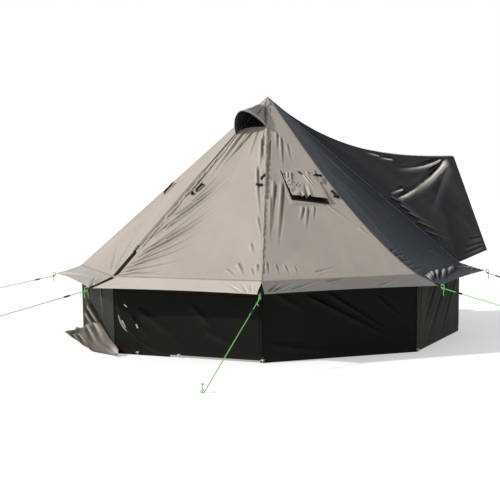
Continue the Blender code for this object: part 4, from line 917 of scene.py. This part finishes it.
# Painted shade in two dark streaks down the cap, and painted highlight in two bright ones between them.
tone = np.minimum(ray(233, 0.007) + ray(288, 0.006, 2.6), 1) - 0.7 * np.minimum(ray(212, 0.014) + ray(252, 0.010), 1)
set_painted_crease_light(cap, tone * smooth((r - 0.012) / 0.03))
cap.data.materials.append(charcoal_cloth)
middle = np.degrees((theta[:-1, :-1] + theta[:-1, 1:]) / 2).ravel()
cap.data.polygons.foreach_set("material_index", (((middle + 67.5) % 360) < 135).astype(np.int32))
weld(cap, 0.00005, outward=True)
thicken(cap, 0.0015)
sewn(cap, nodes=["apex_cap"])


# Seams: felled seams of the panels' cloth, turned over and stitched twice, run from the cap to each corner, along
# the eave and down the walls. The south-southeast one lies on the south panel, where its cloth is drawn over.
stitch_row, stitch_pitch = 0.0052, 0.005


def stitched(name, colour, deep, rough, **cloth_look):
    """Seam cloth: plain weave with two rows of thread, each stitch a short raised dash."""
    made = woven(name, colour, deep, rough, **cloth_look)
    tree = made.node_tree
    skin = next(n for n in tree.nodes if n.type == "BSDF_PRINCIPLED")
    split = add(tree, "SeparateXYZ", Vector=next(n for n in tree.nodes if n.type == "UVMAP"))
    off = calc(tree, "SUBTRACT", calc(tree, "ABSOLUTE", split.outputs[0]), stitch_row)
    row = remap(tree, calc(tree, "ABSOLUTE", off), 0.0004, 0.0012, 1.0, 0.0)
    beat = calc(tree, "PINGPONG", split.outputs[1], stitch_pitch)
    dash = remap(tree, beat, stitch_pitch * 0.25, stitch_pitch * 0.4, 0.0, 1.0)
    thread = calc(tree, "MULTIPLY", row, dash)
    tone, under = (skin.inputs[name].links[0].from_socket for name in ("Base Color", "Normal"))
    tree.links.new(output_of(mix(tree, thread, tone, deep)), skin.inputs["Base Color"])
    bump = add(tree, "Bump", Strength=0.8, Distance=0.0006, Height=thread, Normal=under)
    tree.links.new(bump.outputs[0], skin.inputs["Normal"])
    return made


tan_seam = stitched("tan_felled_seam", "#BFB3A7", "#8E8379", 0.62)
dark_seam = stitched("charcoal_felled_seam", "#3A3F46", "#24282D", 0.42)
highlight_seam = stitched("pale_highlight_felled_seam", "#C3C5C7", "#7E8186", 0.42)
seam_length = math.hypot(eave[0], apex[1] - eave[1])
cap_reach = 0.10
seam_half, zip_half, seam_lift = 0.009, 0.014, 0.0012
across = np.linspace(-seam_half, seam_half, 7)


def over_seam(corner, lower, upper, y, across, height):
    """Points that ride over a corner seam: each lies its distance across down the neighbouring side's slope."""
    bend = seam_bend(lower, upper)
    return place(seam_frame(corner, lower, upper), across * math.cos(bend), y,
                 height - np.abs(across) * math.sin(bend))


y = np.linspace(0.004, seam_length - cap_reach, 260)[:, None]
for corner in ("nne", "nnw", "wnw", "ssw", "sse"):
    lines = over_seam(corner, eave, apex, y, across, seam_lift)
    if corner == "sse":
        up = y * roof_length / seam_length
        lines = place(roof_frames["south"], roof_half(up) - seam_pull(up) + across, up, 0.0014)
    strip("roof_seam_" + corner, lines, dark_seam if corner == "nne" else tan_seam)
hem_width = roof_half(0.0) - 0.004
x = np.linspace(-hem_width, hem_width, 150)
for side, azimuth in sides.items():
    hem_part = side_frame(azimuth, tip, eave)
    folds = ((hem_part, valance_length - 0.009, 0.0010), (hem_part, valance_length - 0.004, 0.0014),
             (roof_frames[side], 0.0, 0.0022), (roof_frames[side], 0.004, 0.0014), (roof_frames[side], 0.009, 0.0010))
    lines = np.stack([place(where, x, up, out) for where, up, out in folds], axis=1)
    strip("eave_seam_" + side, lines[::-1], dark_seam if side in dark_sides else tan_seam)

# Coil zips: woven tape with the nylon coil's turns as close bumps along its middle, on the west-southwest seam and
# on both seams beside the sleeve. Beside these a pale strip of seam cloth is a painted highlight on the seam's raised
# edge.
black_zip, tree = new_surface("black_coil_zip")
split = add(tree, "SeparateXYZ", Vector=cloth_map(tree))
middle = remap(tree, calc(tree, "ABSOLUTE", split.outputs[0]), 0.0026, 0.0034, 1.0, 0.0)
tooth = calc(tree, "MULTIPLY", calc(tree, "PINGPONG", split.outputs[1], 0.0014), middle)
surface(black_zip, tree, Base_Color=mix(tree, middle, "#0B0B0C", "#151516"), Roughness=0.68, Specular_IOR_Level=0.25,
        Normal=add(tree, "Bump", Strength=0.9, Distance=0.6, Height=tooth))
y = np.concatenate([np.linspace(0.012, 0.37, 70), np.linspace(0.38, 2.285, 200)])[:, None]
bold = smooth((0.38 - y) / 0.05) * smooth((y + 0.004) / 0.05)
grid = np.linspace(-1, 1, 9) * (0.0050 + 0.0215 * bold) + 0.0145 * bold
strip("roof_zip_coil", over_seam("wsw", eave, apex, y, grid, 0.0026 + 0.0035 * np.exp(-(grid / 0.004) ** 2)),
      black_zip, 0.001, stack(grid, y), nodes=["roof_zip"])
y = np.linspace(0.006, seam_length - cap_reach, 260)[:, None]
grid = np.linspace(-zip_half, zip_half, 15)
for corner, hand in (("ese", -1), ("ene", 1)):
    lines = over_seam(corner, eave, apex, y, grid, 0.0030 + 0.0025 * np.exp(-(grid / 0.003) ** 2))
    strip("sleeve_zip_" + corner, lines, black_zip, 0.001, stack(grid, y))
    pale = over_seam(corner, eave, apex, y, np.linspace(0.013, 0.030, 7) * hand, 0.0030)
    strip("sleeve_seam_" + corner, pale, highlight_seam)
olive_seam = stitched("olive_felled_seam", "#10100E", "#080807", 0.75, sheen=0.0, gloss=0.1)
y = np.linspace(0.06, wall_length - 0.004, 90)[:, None]
for corner in guys:
    strip("wall_seam_" + corner, over_seam(corner, foot, eave, y, across, seam_lift), olive_seam)

# The door's hinge: a tape along its right edge, half on the wall and half on the leaf.
hinge_z = -0.0034
x, y = np.meshgrid(hinge_x + np.linspace(-0.014, 0.018, 17), np.linspace(bottom + 0.004, door_y - 0.002, 80))
hinge = strip("door_hinge_tape", place(door_frame, x, y, hinge_z), black_webbing, 0.0010, stack(x, y),
              body=None)
place(door_frame, hinge_x + 0.004, 0.3, hinge_z)
place(door_frame, hinge_x - 0.004, 0.3, hinge_z)
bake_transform(hinge)


# Rolled seams: along the seams at both ends of the door side the panels' edges are turned over a cord, and the
# cloth puffs up round it, with painted shade along its edges and painted highlight on its top. A storm flap leans
# over the zip, and black strips fill the valances' slits below as painted shade.
def seam_cloth(name, corner, reach, y, height, shade):
    """A strip of tan cloth over a roof seam, with the painted shade and highlight of its folds."""
    item = strip(name, over_seam(corner, eave, apex, y, reach, height), tan_cloth,
                 chart=stack(reach, y), offset=0.0)
    set_painted_crease_light(item, shade)


def rolled_seam(name, corner, lower_y, upper_y, offset, wide, rise, seed, edge_shade):
    """A puffed roll beside a corner seam, offset to its increasing-azimuth side, its width and height uneven."""
    y, u = lattice((lower_y, upper_y, int((upper_y - lower_y) / 0.005)), (-1, 1, 15))
    bumps = ripples(y, u * 0.004, 90, 0.045, seed) * 0.55
    uneven = 1 + 0.35 * np.sin(y * 41 + seed) * np.sin(y * 17) + bumps
    ends = smooth((y - lower_y) / 0.06) * smooth((upper_y - y) / 0.06)
    reach = offset + u * wide * (0.65 + 0.35 * ends) + 0.0035 * np.sin(y * 23 + seed) + 0.002 * np.sin(y * 61)
    # Painted shade along the roll's edges, painted highlight along its puffed top.
    shade = smooth((np.abs(u) - 0.45) / 0.5) * ends * edge_shade - 0.6 * (1 - np.abs(u)) * smooth(uneven - 0.9)
    seam_cloth(name, corner, reach, y, seam_lift + rise * ends * uneven * (1 - u ** 2) ** 0.7, shade)


rolled_seam("seam_roll_wsw", "wsw", 0.40, 1.95, 0.037, 0.016, 0.009, 3, 0.1)
rolled_seam("seam_roll_ssw", "ssw", 1.10, 2.30, 0.0, 0.026, 0.016, 5, 0.9)
rolled_seam("seam_roll_ssw_low", "ssw", 0.05, 1.12, 0.0, 0.014, 0.008, 9, 0.9)
y, u = lattice((0.425, 1.56, 400), (0, 1, 13))
gather = np.sin(2 * np.pi * y / 0.016 + 4 * u + 2 * np.sin(y * 9))
z = 0.0020 + 0.0205 * smooth(u / 0.32) * (1 - 0.8 * smooth((u - 0.62) / 0.38)) + 0.0005 * gather * smooth(u / 0.3)
# Painted shade and highlight across the storm flap's gathers, painted shade at its left edge, painted highlight on its
# low free side.
seam_cloth("zip_storm_flap", "wsw", -0.020 + 0.041 * u, y, z,
           0.22 * gather + 0.2 * smooth((0.12 - u) / 0.1) - 0.5 * smooth((u - 0.7) / 0.2))
# Black strips in the valances' slits: painted shade seen through them.
y, u = lattice((0.004, valance_length + 0.004, 60), (-1, 1, 15))
below = valance_length - y
reaches = {"wsw": 0.015 + 0.021 * u * (0.7 + 0.5 * y / valance_length) + 0.010 * y / valance_length,
           "ssw": u * (0.014 + 0.032 * smooth(below / 0.18))}
heights = {"wsw": 0.0034, "ssw": -0.004 - 0.012 * (1 - np.abs(u)) * smooth(below / 0.1)}
for corner, reach in reaches.items():
    slit_frame = seam_frame(corner, tip, eave)
    drop = np.abs(reach) * math.sin(seam_bend(tip, eave))
    strip("valance_gusset_" + corner, place(slit_frame, reach, y, heights[corner] - drop), black_webbing,
          0.001, stack(reach, y))


# Stove port and rain flap: a black heat-proof patch in the south panel under a flap of roof cloth, which is
# sewn along its top and hangs a little askew, its left side gathered by its ties.
heat_cloth = woven("black_silicone_fibreglass", "#1A1B1C", "#101112", 0.5, sheen=0.0)
port_frame = roof_frames["south"]
t, s = lattice((0, 1, 60), (-1, 1, 50))
x = port_half * s
low = port_low - 0.035 * s
y = low + (port_top - low) * t
hang("port_cloth", place(port_frame, x, y, 0.0024 + 0.0006 * ripples(x, y, 20, 0.05, 8)), stack(x, y), heat_cloth,
     ["stove_port_patch"])
t, s = lattice((0, 1, 110), (-1, 1, 96))
x = 0.185 * s
y = -t * (0.43 + 0.03 * s)
gather = smooth((-0.25 - s) / 0.5)
rumple = ripples(x, y, 25, 0.045, 61) + 0.8 * ripples(x, y, 70, 0.06, 62)
z = 0.030 * t * t + 0.010 * rumple * gather * smooth(t / 0.08) * smooth((1.05 - t) / 0.1)
z = z + 0.006 * smooth((s + 1) / 0.3) * smooth((1 - s) / 0.3) * t
flap_creases = mm((-40, -450, 24, -170, 16, 30), (-45, -440, 14, -370, 10, 20), (-88, -430, -80, -310, 12, 18),
    (-102, -260, -26, -180, 9, 14), (40, -50, 130, -400, 8, 18), (72, -50, 150, -360, 7, 16),
    (-79, -20, -140, -260, 9, 26), (-114, -20, -150, -170, 9, 24), (-150, -180, -105, -120, 8, 20),
    (-165, -240, -120, -220, 9, 20), (-172, -280, -120, -290, 9, 18), (-168, -40, -172, -140, 8, 16),
    (-165, -330, -130, -350, 9, 16), (110, -50, 172, -90, 9, 20), (100, -20, 120, -130, 9, 18))
dents, shade = crease_all(x, y, flap_creases, np.minimum(t, 0.3) * 0.3, 0.02)
# Painted shade in the hollows of the gathered left side, painted highlight on its bulges.
shade = shade + 0.6 * gather * np.clip(-rumple, -0.6, 1.0) * smooth(t / 0.05)
flap_frame = (place(port_frame, 0.0, port_top, 0.0056), *port_frame[1:])
hang("flap_cloth", place(flap_frame, x, y, np.maximum(z + dents, 0.0006) + hair), stack(x, y), tan_cloth,
     ["rain_flap"], flip=True, shade=shade, body="rain_flap")


def moulded(name, colour, rough=0.42):
    """Moulded nylon or ABS: a faint pebble from the tool's surface under a soft gloss."""
    made, tree = new_surface(name)
    spot = add(tree, "TexCoord").outputs["Object"]
    pebble = add(tree, "TexNoise", Vector=spot, Scale=900.0, Detail=2.0)
    cloud = add(tree, "TexNoise", Vector=spot, Scale=40.0, Detail=3.0)
    return surface(made, tree, Base_Color=mix(tree, cloud, *colour), Roughness=rough,
                   Normal=add(tree, "Bump", Strength=0.35, Distance=0.0003, Height=pebble))


black_nylon = moulded("black_moulded_nylon", ("#0F0F10", "#19191A"), 0.6)
grey_nylon = moulded("light_grey_moulded_nylon", ("#C9CCC8", "#DDDFDB"))


# Ties: short webbing straps with black toggles, sewn to the panels to hold rolled cloth, a folded tab beside the
# flap, and the light grey toggles that hold the open door.
def bean(name, where, x, y, z, lean, rise, length, radius, material):
    """A toggle on a panel: a short bar, round-ended and waisted where its cord is tied."""
    t = np.linspace(-1, 1, 22)
    around = radius * np.sqrt(np.maximum(1 - np.abs(t) ** 6, 0.02)) * (1 - 0.28 * np.exp(-(t / 0.16) ** 2))
    axis = place(where, math.cos(math.radians(lean)), math.sin(math.radians(lean)), rise) - where[0]
    return tube(name, place(where, x, y, z) + np.outer(t * length / 2, unit(axis)), around, 14, material)


def tie(name, where, x, y, lean, size, body="shelter", wide=0.0125, rise=0.010, thick=0.0085):
    """A webbing strap folded on the cloth, with a toggle lying along it, both turned by the lean from the side."""
    c, q = math.cos(math.radians(lean)), math.sin(math.radians(lean))
    t = np.linspace(0, 1, 30)
    run = size * (t - 0.5)
    middle = place(where, x + run * c, y + run * q, 0.0045 + rise * np.sin(np.pi * t) ** 0.6)
    side = wide * (place(where, -q, c, 0.0) - where[0])
    strip(name + "_strap", np.stack([middle - side, middle, middle + side], axis=1), black_webbing,
          0.0020, body=body)
    sewn(bean(name + "_toggle", where, x, y, 0.006 + rise + thick, lean, 0.06, size * 0.92, thick, black_nylon),
         body)


tie("tie_west", roof_frames["west"], -0.264, 1.222, 88, 0.180)
tie("tie_southwest_low", roof_frames["southwest"], -0.352, 1.152, 65, 0.036, wide=0.015)
tie("tie_southwest_high", roof_frames["southwest"], -0.304, 1.240, 67, 0.125, wide=0.009)
tie("tie_corner_high", roof_frames["southwest"], 0.372, 1.385, 62, 0.080, wide=0.009)
tie("tie_corner_low", roof_frames["southwest"], 0.370, 1.268, -12, 0.100)
tie("tie_south", roof_frames["south"], 0.288, 1.135, -68, 0.085)
tie("tie_south_low", roof_frames["south"], 0.302, 1.085, -20, 0.060)
tie("tie_flap_top", flap_frame, 0.010, -0.052, -56, 0.062, "rain_flap", 0.008, rise=0.002, thick=0.0045)
tie("tie_flap_right", flap_frame, 0.192, -0.102, -19, 0.095, "rain_flap", 0.007)
top_edge, low_edge = (np.linspace(*ends, 9) for ends in (((0.150, -0.108), (0.236, -0.130)),
                                                         ((0.160, -0.172), (0.216, -0.206))))
tab = top_edge + (low_edge - top_edge) * np.linspace(0, 1, 9)[:, None, None]
strip("flap_fold_tab", place(flap_frame, tab[..., 0], tab[..., 1], 0.010 + 0.004 * np.sin(60 * tab[..., 0])),
      hood_cloth, 0.0012, tab, body="rain_flap")
t = np.linspace(0, 1, 16)
for k, x, y, lean in ((1, -0.656, 0.479, -35), (2, -0.531, 0.283, -60)):
    sewn(bean("door_toggle_%d" % k, door_frame, x, y, 0.016, lean, 0.1, 0.046, 0.0080, grey_nylon),
         "door_leaf")
    cord = place(door_frame, x + 0.012 * np.sin(3 * t), y + 0.02 * t, 0.002 + 0.012 * np.sin(np.pi * t))
    sewn(tube("door_toggle_cord_%d" % k, cord, 0.0018, 6, black_webbing), "door_leaf")

# A pale strip along part of the door's round edge, a painted highlight, stands for the wall's cloth curling up
# there and catching the light.
turn = np.radians(np.linspace(22.0, 40.0, 50))[:, None]
share = np.linspace(0, 1, 5)
reach = door_radius + 0.018 + 0.014 * share * np.sin(np.linspace(0.15, 3.0, 50))[:, None] ** 0.7
curl_z = 0.003 + 0.010 * share * np.sin(np.linspace(0, np.pi, 50))[:, None]
strip("door_edge_highlight", place(door_frame, door_x - reach * np.cos(turn), door_y - reach * np.sin(turn), curl_z),
      painted_light_tan_cloth, 0.001)


def plated(name, colour, rough):
    """Zinc-plated or anodised metal: fine grain in the roughness, a low, even shine."""
    made, tree = new_surface(name)
    grain = add(tree, "TexNoise", Vector=add(tree, "TexCoord").outputs["Object"], Scale=300.0, Detail=4.0)
    return surface(made, tree, Base_Color=linear(colour), Metallic=1.0,
                   Roughness=remap(tree, grain, 0.3, 0.7, rough * 0.8, rough * 1.25),
                   Normal=add(tree, "Bump", Strength=0.2, Distance=0.0002, Height=grain))


zinc = plated("zinc_plated_steel", "#B9BBBD", 0.34)

# Eave tabs: webbing sewn over each tip, with a pressed steel eyelet for the guy line's eye, whose cord is lashed
# with a knot and leaves a short tail.
eyelet_radius, hole_radius = 0.0060, 0.0050
knot_turns, knot_radius = 2.5, 0.0082
for corner, (start, heading, lift, sideways) in guy_paths.items():
    where = seam_frame(corner, tip, eave)
    y, x = lattice((-0.0246, 0.060, 34), (-0.017, 0.017, 18))
    hole = np.hypot((x[:-1, :-1] + x[1:, 1:]) / 2, (y[:-1, :-1] + y[1:, 1:]) / 2 - eyelet_y) <= hole_radius
    tab = link_mesh("tab_webbing_" + corner, place(where, x, y, tab_lift + 0.0004),
                    grid_faces(*x.shape)[~hole.ravel()], black_webbing, stack(x, y))
    thicken(tab, 0.0015, 1.0)
    turn = np.linspace(0, 2 * np.pi, 33)
    rim = place(where, eyelet_radius * np.cos(turn), eyelet_y + eyelet_radius * np.sin(turn), tab_lift + 0.0012)
    eyelet = tube("tab_eyelet_" + corner, rim, 0.0012, 8, zinc)
    sewn(tab, nodes=["eave_tab_" + corner])
    sewn(eyelet)
    t = np.linspace(0, 1, 60)[:, None]
    coils = np.cos(2 * np.pi * knot_turns * t) * lift + np.sin(2 * np.pi * knot_turns * t) * sideways
    wrap = start + heading * (0.001 + 0.022 * t) + knot_radius * coils
    sewn(tube("guy_knot_" + corner, wrap, 0.0038, 8, green_cord))
    t = np.linspace(0, 1, 24)[:, None]
    loose = wrap[-1] + sideways * 0.024 * np.sin(2.6 * t) - lift * 0.012 * t + np.array([0, 0, -1.0]) * 0.045 * t ** 1.2
    sewn(tube("guy_tail_" + corner, loose, 0.0034, 8, green_cord))


# Ground skirt: loose cloth outside the west wall, spread on the ground in crumpled folds. It reaches a little
# past the wall's corner towards the door.
skirt_cloth = woven("dusty_tan_polyester", "#77706A", "#5A544C", 0.75, sheen=0.05, dirt=("#4A3B2A", 0.06),
                    fold="#141210", crest=("#CFC6BA", 0.8))
out, across = lattice((1, 0, 70), (0, 1, 220))
y = (1 - 2 * across) * (foot[0] * math.sin(half_angle) + 0.12 * out)
y = y - 0.17 * smooth((across - 0.84) / 0.16) * (1 - 0.3 * out)
swell = np.sin(np.pi * across)
ripple = 0.003 * np.cos(10 * np.pi * across) * swell
top = 0.06 + 0.14 * swell
x = foot[0] * math.cos(half_angle) + (eave[0] - foot[0]) * top / eave[1] + cloth + hair
x = x + 0.19 * out * (1 - 0.85 * smooth((across - 0.80) / 0.20)) + np.abs(ripple) * np.sin(np.pi * out)
z = cloth / 2 + foot[1] + (top - cloth) * (1 - out) ** 2 + (ripple + 0.018) * out * (1 - out) * 2
crumple = 0.016 * ripples(y, out * 0.25, 168, 0.095, 500) + 0.003 * ripples(y, out * 0.25, 60, 0.07, 501)
crumple = crumple * smooth(out / 0.15)
inland = smooth((1 - out) / 0.1)
z = np.maximum(z + crumple * smooth(out / 0.3) + 0.006 * smooth(out / 0.2), 0.0015)
skirt_creases = mm((250, 30, 1700, 160, 16, 30, -20), (600, 10, 1800, 100, 18, 26, -10), (20, 120, 420, 220, 30, 40),
    (450, 170, 1300, 240, 14, 22), (200, 210, 900, 250, 12, 18))
dents, shade = crease_all(across * 1.9, out * 0.25, skirt_creases, 0.05, 0.02)
# Painted shade in a hollow near the north end, and a painted highlight where light falls on the south end.
painted_hollow_shade = np.exp(-((across - 0.15) / 0.07) ** 2 - ((out - 0.62) / 0.22) ** 2)
lit = np.exp(-((across - 0.965) / 0.045) ** 2 - ((out - 0.45) / 0.35) ** 2)
shade = (shade * (1 - painted_hollow_shade) + painted_hollow_shade) * (1 - lit) - 1.1 * lit
z = np.maximum(z + 0.9 * dents * smooth(out / 0.2), 0.0015)
hang("skirt_cloth", stack(-(x + 0.6 * crumple * inland + 0.7 * dents * inland), y, z), stack(y, out * 0.25),
     skirt_cloth, ["ground_skirt_west"],
     shade=shade)


# Zips' sliders, runners, pegs and the pole keep their solids, each with its own finish: plated steel, anodised
# tube, moulded nylon, and the coil and net in matt black.
anodised = plated("anodised_aluminium_tube", "#A9ABAD", 0.38)
net_black = moulded("black_insect_net", ("#141415", "#1C1C1E"), 0.8)
zip_black = moulded("black_zip_coil", ("#060607", "#0C0C0D"), 0.9)
finishes = ((zip_black, "door_zip"), (zinc, "door_zip_slider roof_zip_slider clamp_lever"), (net_black, "vent_mesh"),
            (anodised, "pole_lower pole_upper"), (black_nylon, "pole_foot pole_top_plug pole_clamp"),
            (grey_nylon, "guy_peg wall_peg_ssw wall_peg_sse door_peg_west door_peg_east"),
            (black_nylon, " ".join("guy_runner_" + corner for corner in guys)))
for material, nodes in finishes:
    for solid in (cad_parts[node] for node in nodes.split()):
        if not solid.material_slots:
            solid.data.materials.append(material)
        for held in solid.material_slots:
            held.material = material
